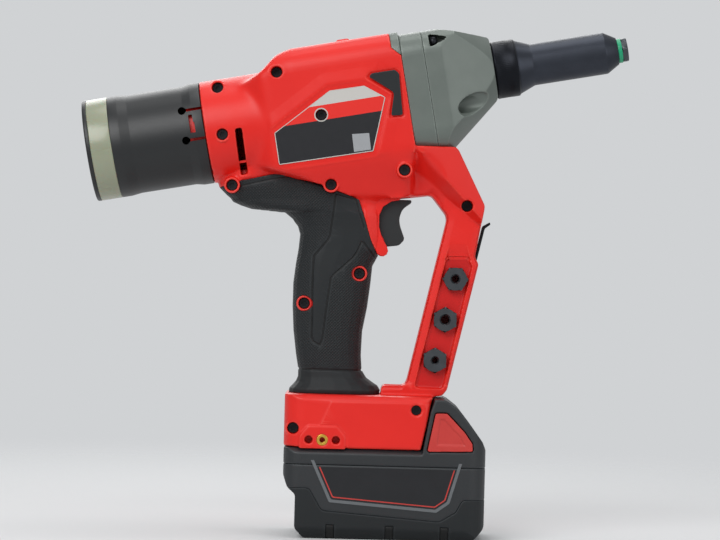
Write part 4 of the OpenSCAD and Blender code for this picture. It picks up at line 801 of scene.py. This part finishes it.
# Turned brass: warm yellow, bright, with fine marks
brass = steel_finish("turned_brass", "#CDA548", 0.3, grain=0.5)
BUSH = rounded([(0, INSERT_BORE, 0.3), (0, INSERT_R, 0.35), (INSERT_L, INSERT_R, 0.3),
                (INSERT_L, INSERT_BORE, 0)])
bushes = [turned("bush", BUSH, 48, Vector((HOOK_X, side * INSERT_Y, HOOK_Z)), Vector((0, -side, 0)),
                 Vector((0, 0, 1))) for side in (-1, 1)]
inserts = join("hook_insert_bushes", bushes)
show(inserts, brass, "brass_insert", "tool", "hook_inserts")

# Gear case and front cover: die-cast aluminium in two pieces with a straight seam between them, sprayed
# in a satin grey enamel. The case has a tab that reaches back into the hump; dishes in the cover clear
# its screws.
SCOOP_AT, SCOOP_REACH = (45.6, 26.7, -19.8), (12.2, 7, 5.6)
SCOOP_RISE, SCOOP_SLANT = 0.25, 0.45
POCKET_AT, POCKET_ENDS, POCKET_L = (23.4, 28.4, 22), (4.6, 0.4), 14
ACROSS = Vector((0, 1, 0))
TAB_FRONT, TAB_EASE, TAB_REACH = 6, 1.5, 1.4


def grained_finish(name, grain, patch, low, high, worn_and_lit_edge, rough, bumps, surface):
    """A moulded or sprayed surface: two tones in patches, a third painted on its edges as wear and as a highlight,
    a grain that breaks the gloss.

    grain and patch are each a size in mm and a noise detail, rough the least and most roughness, and bumps
    the strength of the grain and its depth in mm.
    """
    material, tree = blank_material(name)
    place = add(tree, "ShaderNodeTexCoord").outputs["Object"]
    peel = add(tree, "ShaderNodeTexNoise", {"Vector": place, "Scale": 1 / (grain[0] * MM), "Detail": grain[1]})
    cloud = add(tree, "ShaderNodeTexNoise", {"Vector": place, "Scale": 1 / (patch[0] * MM), "Detail": patch[1]})
    coat = add(tree, "ShaderNodeMix", {
        "Factor": cloud.outputs["Fac"], LOW: colour(low), HIGH: colour(high)}, data_type="RGBA")
    # Edges paler: partly wear, partly a painted edge highlight
    edge = add(tree, "ShaderNodeAttribute", attribute_name="edge")
    skin = add(tree, "ShaderNodeMix", {
        "Factor": edge.outputs["Fac"], LOW: coat.outputs[MIXED], HIGH: colour(worn_and_lit_edge)}, data_type="RGBA")
    gloss = add(tree, "ShaderNodeMapRange", {
        "Value": peel.outputs["Fac"], "To Min": rough[0], "To Max": rough[1]})
    bump = add(tree, "ShaderNodeBump", {
        "Height": peel.outputs["Fac"], "Strength": bumps[0], "Distance": bumps[1] * MM})
    shader = add(tree, "ShaderNodeBsdfPrincipled", {
        "Base Color": skin.outputs[MIXED], "Roughness": gloss.outputs[0], "Normal": bump.outputs[0], **surface})
    add(tree, "ShaderNodeOutputMaterial", {"Surface": shader.outputs[0]})
    return material


def cover_scoops(name):
    """What is scooped out of the cover: an oval dish by each lower screw, a cone ahead of each upper one."""
    mesh = bpy.data.meshes.new(name)
    with reworked(mesh) as shape:
        for side in (-1, 1):
            run = (ALONG + SCOOP_RISE * UP - side * SCOOP_SLANT * ACROSS).normalized()
            out = (side * ACROSS - run * run.dot(side * ACROSS)).normalized()
            axes = [axis * reach * MM for axis, reach in zip((run, out.cross(run), out), SCOOP_REACH)]
            x, z = on_barrel(SCOOP_AT[0], SCOOP_AT[2])
            seat = Matrix(axes).transposed().to_4x4()
            seat.translation = Vector((x, side * SCOOP_AT[1], z)) * MM
            bmesh.ops.create_uvsphere(shape, u_segments=48, v_segments=24, radius=1, matrix=seat)
            x, z = on_barrel(POCKET_AT[0] + POCKET_L / 2, POCKET_AT[2])
            seat = Matrix((UP, ALONG.cross(UP), ALONG)).transposed().to_4x4()
            seat.translation = Vector((x, side * POCKET_AT[1], z)) * MM
            bmesh.ops.create_cone(shape, cap_ends=True, segments=48, radius1=POCKET_ENDS[0] * MM,
                                  radius2=POCKET_ENDS[1] * MM, depth=POCKET_L * MM, matrix=seat)
        bmesh.ops.recalc_face_normals(shape, faces=shape.faces)
    return link(name, mesh)


def tab_reach(points):
    """Carry the front end of the case's tab on into the case."""
    t = barrel_place(points)[0]
    return points + TAB_REACH * fraction(t - TAB_FRONT, TAB_EASE)[:, None] * np.array(ALONG)


# Sprayed enamel: satin grey, faintly orange-peeled, and paler on edges, partly where the coat is thin and partly
# as a painted edge highlight
enamel_grey = grained_finish("sprayed_enamel_grey", (1.1, 2), (14, 3), "#626A65", "#727A74", "#7F8781",
                             (0.34, 0.46), (0.35, 0.06), {"Metallic": 0.25})
case = eased_copy("gear_case_casting", "gear_case", 0.5, 5, limit=140000)
show(case, enamel_grey, "cast_paint", "tool", "gear_case")
scoops = cover_scoops("cover_scoops")
cover = eased_copy("front_cover_casting", "front_cover", 0.45, 4, limit=140000, cut=[("DIFFERENCE", scoops)])
bpy.data.objects.remove(scoops)
show(cover, enamel_grey, "cast_paint", "tool", "front_cover")
for name in ("right", "left"):
    tab = eased_copy("gear_case_tab_" + name, "housing_" + name, 0.4, 4, limit=30000,
                     cut=[("INTERSECT", tab_room)], restore=tab_reach)
    show(tab, enamel_grey, "cast_paint", "tool")
bpy.data.objects.remove(tab_room)

# Case screws: four hexagon-socket cap screws of blackened steel. They are driven from the front and
# hold the cover to the case.
CASE_SEAT = 24
CASE_SCREWS = [(-25.5, 21.5), (25.5, 21.5), (-24.5, -19), (24.5, -19)]
CAP_HEAD = {"Head radius": 3.6, "Head height": 4, "Socket radius": 1.9,
            "Socket waist": 1.9 * math.cos(math.radians(30)), "Socket depth": 2, "Lobes": 6}
FACE_NOSE = (0, math.radians(90) - TILT, 0)
# Blackened steel: nearly black, with a satin shine
blackened = steel_finish("blackened_steel", "#26272A", 0.36)
case_places = []
for y, w in CASE_SCREWS:
    x, z = on_barrel(CASE_SEAT, w)
    case_places.append((x, y, z))
caps = set_screws("case_cap_screws", case_places, blackened, FACE_NOSE, CAP_HEAD)
show(caps, blackened, "black_steel", "tool", "gear_case_screws")

# Nose: a turned steel sleeve, blacked in hot oxide, with a finely straight-knurled collar. The fitted
# nosepiece screws into its end with a hexagon head, behind it a green size ring of moulded nylon.
BARREL_ORIGIN = Vector((0, 0, SPINDLE_Z))
KNURL_COUNT, KNURL_DEEP, KNURL_ENDS, KNURL_R, COLLAR_END = 96, 0.06, (62.3, 69.9), 17, 74
SLEEVE = rounded([
    (50.3, 9.7, 0), (50.3, 11.5, 0), (60, 11.5, 0), (60, 15.5, 0), (60.7, 15.5, 0), (60.7, 17.5, 0.5),
    (62.2, 17.5, 0), (62.5, 17.35, 0), (69.7, 17.35, 0), (70, 17.5, 0), (74, 17.5, 0.5), (75, 16.4, 0.6),
    (84.1, 12.7, 3), (129.1, 12.7, 1.5), (136.8, 8.1, 0.5), (136.8, 5, 0), (128.1, 5, 0), (128.1, 9.7, 0),
])
HEX_FLATS, HEX_LEAST_R, CHAMFER_START, CHAMFER_SLOPE = 13.7, 6, 0.05, 1.7
HEAD_ENDS = (139.4, 142.9)
NOSEPIECE = rounded([
    (121.1, 3.3, 0), (121.1, 5, 0.4), (139.4, 5, 0), (139.4, 7.9, 0), (139.9, 7.9, 0), (142.3, 7.9, 0),
    (142.9, 7.9, 0), (142.9, 4.2, 0), (142.3, 3.3, 0),
])
RING = rounded([(136.8, 5, 0), (136.8, 7.4, 0.3), (139.4, 7.4, 0.3), (139.4, 5, 0)])


def knurled(t, r, a):
    """Straight knurling on the collar's middle."""
    on_knurl = KNURL_ENDS[0] < t < KNURL_ENDS[1] and r > KNURL_R
    return r + KNURL_DEEP * math.cos(KNURL_COUNT * a) if on_knurl else r


def hexagon(corner_at, ends):
    """A bound that cuts a turned head to a hexagon, with its two ends' corners chamfered."""
    def bound(t, r, a):
        if r < HEX_LEAST_R:
            return r
        off = (a - corner_at) % (math.pi / 3) - math.pi / 6
        from_end = min(abs(t - e) for e in ends)
        return min(HEX_FLATS / 2 / math.cos(off), HEX_FLATS / 2 + CHAMFER_START + CHAMFER_SLOPE * from_end)
    return bound


# Hot black oxide on turned steel: near black and satin; the turning marks are drawn at 0.8 mm to show
TURNING = 0.8
oxide, tree = blank_material("black_oxide_steel")
place = add(tree, "ShaderNodeTexCoord").outputs["Object"]
level = add(tree, "ShaderNodeMapping", {"Vector": place, "Location": (0, 0, -SPINDLE_Z * MM)})
lined = add(tree, "ShaderNodeMapping", {"Vector": level.outputs[0], "Rotation": (0, TILT, 0)})
marks = add(tree, "ShaderNodeTexWave", {
    "Vector": lined.outputs[0], "Scale": math.pi / (10 * TURNING * MM), "Distortion": 1.5},
    wave_type="BANDS", bands_direction="X")
cloud = add(tree, "ShaderNodeTexNoise", {"Vector": place, "Scale": 1 / (9 * MM), "Detail": 4})
tube_tint = add(tree, "ShaderNodeMix", {
    "Factor": cloud.outputs["Fac"], LOW: colour("#33363D"), HIGH: colour("#3F434C")}, data_type="RGBA")
along = add(tree, "ShaderNodeSeparateXYZ", {0: lined.outputs[0]})
past_collar = add(tree, "ShaderNodeMapRange", {
    "Value": along.outputs[0], "From Min": COLLAR_END * MM, "From Max": (COLLAR_END + 2) * MM})
tint = add(tree, "ShaderNodeMix", {
    "Factor": past_collar.outputs[0], LOW: colour("#1A1C21"), HIGH: tube_tint.outputs[MIXED]}, data_type="RGBA")
gloss = add(tree, "ShaderNodeMapRange", {"Value": cloud.outputs["Fac"], "To Min": 0.38, "To Max": 0.42})
bump = add(tree, "ShaderNodeBump", {"Height": marks.outputs["Fac"], "Strength": 0.15, "Distance": 0.02 * MM})
shader = add(tree, "ShaderNodeBsdfPrincipled", {
    "Base Color": tint.outputs[MIXED], "Metallic": 0.85, "Roughness": gloss.outputs[0],
    "Normal": bump.outputs[0]})
add(tree, "ShaderNodeOutputMaterial", {"Surface": shader.outputs[0]})
sleeve = turned("nose_sleeve_turned", SLEEVE, 4 * KNURL_COUNT, BARREL_ORIGIN, ALONG, UP, knurled)
show(sleeve, oxide, "black_steel", "tool", "nose_sleeve")

# Oiled tool steel: a dark grey with a soft shine
burnished = steel_finish("oiled_tool_steel", "#4D5053", 0.34)
fitted = turned("nosepiece_turned", NOSEPIECE, 72, BARREL_ORIGIN, ALONG, UP, hexagon(math.pi / 2, HEAD_ENDS))
show(fitted, burnished, "black_steel", "tool", "nosepiece")

# Green nylon: an even, clear colour with a satin moulded skin
nylon_green = patchy_finish("moulded_nylon_green", 2, 2, "#0F9467", "#17AA79", (0.32, 0.45))
size_ring = turned("nosepiece_ring_moulded", RING, 96, BARREL_ORIGIN, ALONG, UP)
show(size_ring, nylon_green, "green_ring", "tool", "nosepiece_ring")

# Drive: motor, planetary gears, ball nut, bearings and the pulling jaws, in ground and hardened steel
# that stays inside the closed housing. Their exact solids stay as they are: ground faces bright, the
# stator's stacked iron duller, the rotor, carrier and jaw case oiled.
ground = steel_finish("ground_steel", "#8E9398", 0.3)
stacked = steel_finish("laminated_iron", "#6B6F73", 0.45)
dress(ground, "motor_bearings", "ring_gear", "planet_gear_1", "planet_gear_2", "planet_gear_3", "ball_nut",
      "nut_bearing", "thrust_bearing", "pull_spindle", "jaw_pusher", "jaw_spring", "jaw_1", "jaw_2", "jaw_3")
dress(stacked, "motor_stator")
dress(burnished, "motor_rotor", "planet_carrier", "jaw_case")

# Inner mouldings and electrics: black nylon plates, liner, switch and terminal block, and the potted
# control module; none shows while the tool is whole.
# Black glass-filled nylon: satin; its eroded grain is drawn at 0.8 mm to show
nylon_black = grained_finish("glass_filled_nylon_black", (0.8, 3), (25, 2), "#0E1012", "#15181A", "#1E2124",
                             (0.36, 0.5), (0.4, 0.06), {"IOR": 1.53})
dress(nylon_black, "motor_end_plates", "mandrel_liner", "trigger_switch", "terminal_block")
# Solder mask: glossy green, paler over the copper tracks
board_green = patchy_finish("solder_masked_board", 2.5, 1, "#2E4A36", "#476B50", 0.35)
dress(board_green, "control_module", "battery_board")

# Trigger strip: the housing's red rib on both sides behind the trigger, moulded with the shells; it is
# curved to the finger and ends below in a rounded foot on the rubber.
STRIP = [(-21, 206.7), (-16.3, 188.2), (-12.4, 178.3), (-8.6, 171.4), (-6.9, 170.2), (-4.8, 170.1), (-2.9, 171.3),
         (-2.2, 173.4), (-2.9, 176), (-6.4, 182.2), (-8, 188), (-8, 195), (-5.8, 200.2), (-1, 203.4), (4.4, 204.5),
         (4.4, 206.4)]
STRIP_INNER, STRIP_OUTER, STRIP_EDGE = 8.8, 13.6, 1.1
for side, name in SIDES:
    strip = flat_plate("trigger_strip_" + name, STRIP, *sorted((side * STRIP_INNER, side * STRIP_OUTER)))
    ease = strip.modifiers.new("Ease", "BEVEL")
    ease.width = STRIP_EDGE * MM
    ease.segments = 3
    ease.limit_method = "ANGLE"
    ease.angle_limit = math.radians(40)
    bake(strip)
    strip.data.shade_smooth()
    write_share(strip.data, "edge")
    write_share(strip.data, "sunk")
    show(strip, nylon_red, "red_nylon", "tool")

# Trigger: black nylon moulding with a rounded front edge, held between the two halves, where it slides
# behind the guard.
pull = eased_copy("trigger_moulding", "trigger", 0.4, 7, limit=60000)
show(pull, nylon_black, "black_nylon", "trigger", "trigger")

# Collection cup: black nylon tube that twists onto the barrel's spigot. Two keyhole slots free a latch
# tongue, and a small window beside it shows the spigot's red. The tube flares at both ends.
CUP_ORIGIN = BARREL_ORIGIN - CUP_DROP * UP
CUP_T0, CUP_T1, CUP_R, CUP_BORE = -175, -118.4, 30.8, 28
CUP = rounded([
    (CUP_T0, CUP_BORE, 0), (CUP_T0, CUP_R, 0.4), (CUP_T0 + 5.9, CUP_R, 4), (CUP_T0 + 12, 30, 6),
    (CUP_T1 - 11, 30, 5), (CUP_T1 - 6, BARREL_R, 4), (CUP_T1, BARREL_R, 0.6), (CUP_T1, CUP_BORE, 0.3),
    (-123.8, CUP_BORE, 0), (-123.8, 28.8, 0), (-128.2, 28.8, 0), (-128.2, CUP_BORE, 0),
])
KEY_HEIGHTS, KEY_T, KEY_R, KEY_SLIT, KEY_STEPS = (-4.1, 14.1), -130.2, 2.4, 1.7, 28
TONGUE_WINDOW = rounded([(-126.8, 0, 0.5), (-123.6, 0, 0.5), (-123.6, 6.4, 0.3), (-124.4, 6.4, 0.3),
                         (-124.4, 11, 0.5), (-126.8, 11, 0.5)])


def cup_cutter(name, outline):
    """A bar across the right side of the cup, from an outline of (t, height over the cup's axis)."""
    return flat_plate(name, [on_barrel(t, h - CUP_DROP) for t, h in outline], -45, -5)


cutters = []
for height in KEY_HEIGHTS:
    start = math.atan2(KEY_SLIT / 2, math.sqrt(KEY_R ** 2 - (KEY_SLIT / 2) ** 2))
    arc = [start + (2 * math.pi - 2 * start) * k / KEY_STEPS for k in range(KEY_STEPS + 1)]
    outline = [(KEY_T + KEY_R * math.cos(a), height + KEY_R * math.sin(a)) for a in arc]
    outline += [(CUP_T1 + 5, height - KEY_SLIT / 2), (CUP_T1 + 5, height + KEY_SLIT / 2)]
    cutters.append(cup_cutter("keyhole", outline))
cutters.append(cup_cutter("tongue_window", TONGUE_WINDOW))
cup = turned("cup_tube", CUP, 256, CUP_ORIGIN, ALONG, UP)
for cutter in cutters:
    cut = cup.modifiers.new("Cut", "BOOLEAN")
    cut.operation, cut.object, cut.solver = "DIFFERENCE", cutter, "EXACT"
bake(cup)
for cutter in cutters:
    bpy.data.objects.remove(cutter)
drop_slivers(cup.data)
cup.data.shade_smooth()
cup.data.set_sharp_from_angle(angle=SHARP_ANGLE)
write_share(cup.data, "edge")
show(cup, nylon_black, "black_nylon", "cup", "collection_cup")

# Window ring: polycarbonate, moulded nearly clear so that broken mandrels show through, and welded to
# the tube's end.
WINDOW_T0 = -187.8
WINDOW = rounded([(WINDOW_T0, CUP_BORE, 0), (WINDOW_T0, CUP_R, 0.5), (CUP_T0, CUP_R, 0.5), (CUP_T0, CUP_BORE, 0)])
# Milky polycarbonate: a greenish ivory that light enters a little way
milky = patchy_finish("milky_polycarbonate", 22, 1, "#92977F", "#9CA089", (0.22, 0.34), surface={
    "IOR": 1.58, "Subsurface Weight": 0.25, "Subsurface Scale": 2 * MM})
window = turned("cup_window_ring", WINDOW, 192, CUP_ORIGIN, ALONG, UP)
show(window, milky, "clear_ring", "cup", "cup_window")

# End cap: black nylon disc with a shallow dished middle and a rolled rim, moulded in one and pressed
# over the ring.
CAP_DISC = rounded([(WINDOW_T0, 0, 0), (WINDOW_T0, CUP_R, 0.3), (-190.4, CUP_R, 1.1), (-190.4, 26, 0.6),
                    (-189.6, 24.5, 0.6), (-189.6, 0, 0)])
cap = turned("cup_end_disc", CAP_DISC, 192, CUP_ORIGIN, ALONG, UP)
write_share(cap.data, "edge")
show(cap, nylon_black, "black_nylon", "cup", "cup_end_cap")

# Stored nosepieces: three turned steel nosepieces with hexagon heads and different bores, pushed into
# sockets of the guard's sunk panel, one below the other along its lean.
LEG_FOOT, LEG_HEAD = LEG_FRONT[:2]
LEAN = math.atan2(LEG_HEAD[0] - LEG_FOOT[0], LEG_HEAD[1] - LEG_FOOT[1])
SPARE_TOP, SPARE_PITCH, SPARE_BORES = (39, 157.4), 25.4, (4.4, 5.2, 3.5)
SPARE_FACE, SPARE_SEAT, SPARE_END, SPARE_R, SHANK_R = -17.1, -12.1, 2.9, 7.9, 4.6
for k, bore in enumerate(SPARE_BORES):
    down = k * SPARE_PITCH
    middle = Vector((SPARE_TOP[0] - down * math.sin(LEAN), 0, SPARE_TOP[1] - down * math.cos(LEAN)))
    spare = rounded([(SPARE_FACE, bore / 2 + 0.9, 0), (SPARE_FACE, SPARE_R, 0), (SPARE_FACE + 0.6, SPARE_R, 0),
                     (SPARE_SEAT - 0.4, SPARE_R, 0), (SPARE_SEAT, SPARE_R, 0), (SPARE_SEAT, SHANK_R, 0),
                     (SPARE_END, SHANK_R, 0.5), (SPARE_END, bore / 2, 0), (SPARE_FACE + 0.9, bore / 2, 0)])
    corner_at = math.pi / 2 if k == 0 else 0
    piece = turned("spare_nosepiece_%d_turned" % (k + 1), spare, 72, middle, ACROSS, Vector((0, 0, 1)),
                   hexagon(corner_at, (SPARE_FACE, SPARE_SEAT)))
    show(piece, burnished, "black_steel", "spare_%d" % (k + 1), "spare_nosepiece_%d" % (k + 1))

# Nose wrench: blackened sheet steel, pressed and bent at its tip, pushed down into the guard's front
# channel, which holds it by its fit.
wrench = eased_copy("nose_wrench_sheet", "nose_wrench", 0.3, 2, limit=40000)
show(wrench, blackened, "black_steel", "wrench", "nose_wrench")

# Battery case: two black nylon mouldings, screwed together from below on a straight seam; the upper one
# carries the slide-on rail and the tower with the latches.
# Graphite glass-filled nylon: a greyer black, duller than the tool's; the grain is drawn at 0.8 mm to show
nylon_battery = grained_finish("glass_filled_nylon_graphite", (0.8, 3), (25, 2), "#181B1E", "#212528", "#2A2E31",
                               (0.4, 0.55), (0.5, 0.07), {"IOR": 1.53})
for node in ("battery_case_upper", "battery_case_lower"):
    case = eased_copy(node + "_moulding", node, 0.55, 5)
    show(case, nylon_battery, "battery_nylon", "battery", node)

# Battery boot: soft rubber moulded over the lower case's corners and base, which holds it without screws.
# Notches in its lower edge part its feet.
FOOT_NOTCHES, NOTCH_HALF, NOTCH_EASE, NOTCH_DEEP, NOTCH_TOP = (-33, 2.5, 35.5), 2.8, 0.7, 1.3, 9


def boot_relief(points):
    """Notches cut into the boot's lower edge on both sides."""
    deep = np.zeros(len(points))
    for x in FOOT_NOTCHES:
        deep = np.maximum(deep, np.clip(NOTCH_HALF - np.abs(points[:, 0] - x), 0, NOTCH_EASE) / NOTCH_EASE)
    return -NOTCH_DEEP * deep * np.clip(NOTCH_TOP - points[:, 2], 0, 1) * (np.abs(points[:, 1]) > 30)


boot = eased_copy("battery_boot_skin", "battery_boot", 0.4, 4, limit=120000, relief=boot_relief)
write_share(boot.data, "ribbed")
# Painted shade in the boot's notches, fading out upwards
write_share(boot.data, "groove", 0.9 * boot_relief(points_of(boot.data)) / -NOTCH_DEEP)
show(boot, rubber_black, "battery_rubber", "battery", "battery_boot")

# Battery label plates: smooth black polycarbonate inlays on both sides, bare, each held below the seam by
# a raised frame that is open at the top, grey and paler as a painted highlight on its bevel, with a thin red line
# printed just inside it.
PLATE = [(-33, 23.4, 2), (30, 18.8, 2), (37, 23.8, 2), (42.6, 43, 1), (-42, 43, 1)]
PLATE_Y, RIM_Y, LINE_Y = (38.8, 39.06), (38.9, 39.3), (38.9, 39.1)
RIM_INSETS, RIM_TOP = (-1.4, 0.4), 47
LINE_INSETS, LINE_TOP = (1.5, 2.2), 43


def inset_outline(outline, d):
    """The same corners moved inwards by d, for an outline that runs counter-clockwise."""
    moved = []
    for i, (x, z, radius) in enumerate(outline):
        here = Vector((x, z))
        a = (here - Vector(outline[i - 1][:2])).normalized()
        b = (Vector(outline[(i + 1) % len(outline)][:2]) - here).normalized()
        n, m = Vector((-a.y, a.x)), Vector((-b.y, b.x))
        p = here + (n + m) * d / (1 + n.dot(m))
        moved.append((p.x, p.y, max(radius - d, 0.2)))
    return moved


def open_path(d, top):
    """The plate's outline moved inwards by d, from its upper left round to its upper right at a height."""
    *low, right, left = [corner[:2] for corner in inset_outline(PLATE, d)]
    ends = [(a[0] + (a[0] - b[0]) * (top - a[1]) / (a[1] - b[1]), top)
            for a, b in ((left, low[0]), (right, low[-1]))]
    return rounded([(*ends[0], 0)] + [(x, z, 1.5) for x, z in low] + [(*ends[1], 0)])


def band(name, insets, top, y0, y1):
    """An open flat band between two insets of the plate's outline, from y0 to y1, with its ends closed."""
    outer, inner = (open_path(d, top) for d in insets)
    count = len(outer)
    points = [Vector((x, y, z)) * MM for y in (y0, y1) for x, z in outer + inner]
    far = 2 * count
    faces = []
    for i in range(count - 1):
        j = i + 1
        faces += [(i, j, count + j, count + i), (far + i, far + j, far + count + j, far + count + i),
                  (i, j, far + j, far + i), (count + i, count + j, far + count + j, far + count + i)]
    faces += [(i, i + count, far + i + count, far + i) for i in (0, count - 1)]
    mesh = bpy.data.meshes.new(name)
    mesh.from_pydata(points, [], faces)
    with reworked(mesh) as shape:
        bmesh.ops.recalc_face_normals(shape, faces=shape.faces)
    return link(name, mesh)


# Black polycarbonate: smooth, with a soft shine; the frame's grey, partly a painted highlight on its bevel, and
# red ink: flat and satin
plate_black = patchy_finish("smooth_polycarbonate_black", 10, 3, "#0E0F13", "#15161B", (0.24, 0.36), PLAIN_GRAIN)
frame_grey_and_highlight = patchy_finish("nylon_grey_and_bevel_highlight", 10, 3, "#5E6265", "#6C7073", (0.34, 0.46), PLAIN_GRAIN)
red_line = patchy_finish("printed_ink_red", 10, 3, "#B8332C", "#C63C33", (0.34, 0.46), PLAIN_GRAIN)
plates = join("battery_label_plates_flat", [
    flat_plate("label_plate", rounded(PLATE), side * PLATE_Y[0], side * PLATE_Y[1]) for side in (-1, 1)])
show(plates, plate_black, "label_film", "battery", "battery_label_plates")
for side, name in SIDES:
    rim = band("battery_label_frame_" + name, RIM_INSETS, RIM_TOP, side * RIM_Y[0], side * RIM_Y[1])
    show(rim, frame_grey_and_highlight, "battery_nylon", "battery")
    line = band("battery_label_line_" + name, LINE_INSETS, LINE_TOP, side * LINE_Y[0], side * LINE_Y[1])
    show(line, red_line, "label_film", "battery")

# Battery latches: red nylon buttons on both flanks of the tower, moulded with a sunk thumb field and
# pushed out by springs behind them.
LATCH_FIELD = [(30, 58), (46.5, 58), (44, 63), (37, 70), (34, 73.2), (31.5, 73.2)]
FIELD_DEEP, LATCH_SKIN = 0.7, 38


def latch_relief(points):
    """The sunk thumb field."""
    sunk = np.clip(0.5 + inside_depth(points, LATCH_FIELD), 0, 1)
    return -FIELD_DEEP * sunk * (np.abs(points[:, 1]) > LATCH_SKIN)


# Latch red nylon: a little browner and duller than the housing's
nylon_latch = patchy_finish("moulded_nylon_latch_red", 10, 3, "#C02F2A", "#CD3D36", (0.36, 0.48), PLAIN_GRAIN)
for name in ("right", "left"):
    latch = eased_copy("latch_button_" + name, "battery_latch_" + name, 0.35, 5, limit=60000,
                       relief=latch_relief)
    show(latch, nylon_latch, "latch_red", "latch_" + name, "battery_latch_" + name)

# Charge gauge: a soft round button in the battery's front, moulded in the boot's rubber, and four small
# lenses of frosted acrylic set into the case beside it.
GAUGE_T0, GAUGE_T1, GAUGE_R, GAUGE_Z = 56.1, 59.9, 4, 36
BUTTON = rounded([(GAUGE_T0, 0, 0), (GAUGE_T0, GAUGE_R, 0.3), (GAUGE_T1, GAUGE_R, 1.2), (GAUGE_T1, 0, 0)])
button = turned("gauge_button_domed", BUTTON, 64, Vector((0, 0, GAUGE_Z)), Vector((1, 0, 0)), Vector((0, 0, 1)))
write_share(button.data, "ribbed")
write_share(button.data, "edge")
show(button, rubber_black, "battery_rubber", "gauge", "gauge_button")
# Frosted acrylic: pale, with a broken shine
frosted = patchy_finish("frosted_acrylic_lens", 10, 3, "#C6C8C2", "#DADBD5", (0.24, 0.36), PLAIN_GRAIN)
dress(frosted, "gauge_lenses")

# Battery inside: ten steel cells in blue heat-shrink film, which is smooth and shiny, and their board; the
# case screws come up from below into the upper case.
shrink_blue = patchy_finish("heat_shrink_film_blue", 10, 3, "#2A6399", "#3675B2", (0.29, 0.41), PLAIN_GRAIN)
dress(shrink_blue, "battery_cells")
battery_places = [(x, y, z) for x, z in ((-57.4, 33), (49, 4.5)) for y in (-28, 28)]
BATTERY_HEAD = {"Head radius": 2.4, "Head height": 1.8, "Socket radius": 1.4, "Socket waist": 0.95,
                "Socket depth": 1.1, "Lobes": 6}
FACE_DOWN = (math.radians(180), 0, 0)
bolts = set_screws("battery_screw_heads", battery_places, phosphated, FACE_DOWN, BATTERY_HEAD)
show(bolts, phosphated, "black_steel", "battery", "battery_screws")

# Stage: a round of pale matt board that fades into the pale air round it, so that the tool is seen from all
# sides, under soft studio lamps; the camera looks from the right, as in the photograph.
FLOOR_R, FLOOR_SIDES, FLOOR_Z, FLOOR_FULL, FLOOR_LOST = 1500, 96, -0.05, 300, 1100
board = bpy.data.meshes.new("board_floor")
board.from_pydata([Vector((x, y, FLOOR_Z)) * MM for x, y in circle(0, 0, FLOOR_R, FLOOR_SIDES)], [],
                  [range(FLOOR_SIDES)])
floor = link("board_floor", board)
# Matt board: pale, even, with no shine
board_pale, tree = blank_material("matt_board_pale")
place = add(tree, "ShaderNodeTexCoord").outputs["Object"]
reach = add(tree, "ShaderNodeVectorMath", {0: place}, operation="LENGTH")
fade = add(tree, "ShaderNodeMapRange", {"Value": reach.outputs["Value"], "From Min": FLOOR_FULL * MM,
                                        "From Max": FLOOR_LOST * MM}, interpolation_type="SMOOTHSTEP")
matt = add(tree, "ShaderNodeBsdfPrincipled", {"Base Color": colour("#DCDDDE"), "Roughness": 0.9})
clear = add(tree, "ShaderNodeBsdfTransparent")
faded = add(tree, "ShaderNodeMixShader", {0: fade.outputs[0], 1: matt.outputs[0], 2: clear.outputs[0]})
add(tree, "ShaderNodeOutputMaterial", {"Surface": faded.outputs[0]})
board.materials.append(board_pale)

for name, place, aim, size, power in (
        ("key_lamp", (-0.7, -1.4, 1.2), (-0.02, 0, 0.16), 1.1, 19),
        ("fill_lamp", (1.2, -1.2, 0.7), (0, 0, 0.15), 1.2, 6),
        ("top_lamp", (0.1, 0.1, 1.5), (0, 0, 0.15), 0.9, 6),
        ("rear_lamp", (-0.3, 1.5, 1.1), (0, 0, 0.15), 1.2, 12)):
    lamp = bpy.data.lights.new(name, "AREA")
    lamp.shape = "SQUARE"
    lamp.size = size
    lamp.energy = power
    holder = bpy.data.objects.new(name, lamp)
    holder.location = place
    holder.rotation_euler = (Vector(aim) - Vector(place)).to_track_quat("-Z", "Y").to_euler()
    bpy.context.scene.collection.objects.link(holder)
# Pale air: seen by the camera at its full strength, in mirrors at a part of it, and weaker as a lamp
MIRRORED, AIR_LIGHT = 0.6, 0.32
world = bpy.data.worlds.new("studio_air")
world.use_nodes = True
air = world.node_tree
air.nodes.clear()
path = add(air, "ShaderNodeLightPath")
shiny = add(air, "ShaderNodeMath", {0: path.outputs["Is Glossy Ray"], 1: path.outputs["Is Transmission Ray"]},
            operation="MAXIMUM")
seen = add(air, "ShaderNodeMath", {0: shiny.outputs[0], 1: MIRRORED, 2: path.outputs["Is Camera Ray"]},
           operation="MULTIPLY_ADD")
soft = add(air, "ShaderNodeBackground", {"Color": colour("#F2F4F6"), "Strength": AIR_LIGHT})
pale = add(air, "ShaderNodeBackground", {"Color": colour("#D0D2D4"), "Strength": 1})
both = add(air, "ShaderNodeMixShader", {0: seen.outputs[0], 1: soft.outputs[0], 2: pale.outputs[0]})
add(air, "ShaderNodeOutputWorld", {"Surface": both.outputs[0]})
bpy.context.scene.world = world

CAMERA_PLACE, CAMERA_ROLL, LENS, SENSOR, FARTHEST = (-18.9, -2000, 161.4), math.radians(1.5), 163.9, 36, 20
camera = bpy.data.cameras.new("camera")
camera.lens = LENS
camera.sensor_width = SENSOR
camera.clip_end = FARTHEST
holder = bpy.data.objects.new("camera", camera)
holder.location = Vector(CAMERA_PLACE) * MM
holder.rotation_euler = (math.radians(90), -CAMERA_ROLL, 0)
bpy.context.scene.collection.objects.link(holder)
bpy.context.scene.camera = holder
bpy.context.scene.view_settings.view_transform = "Standard"
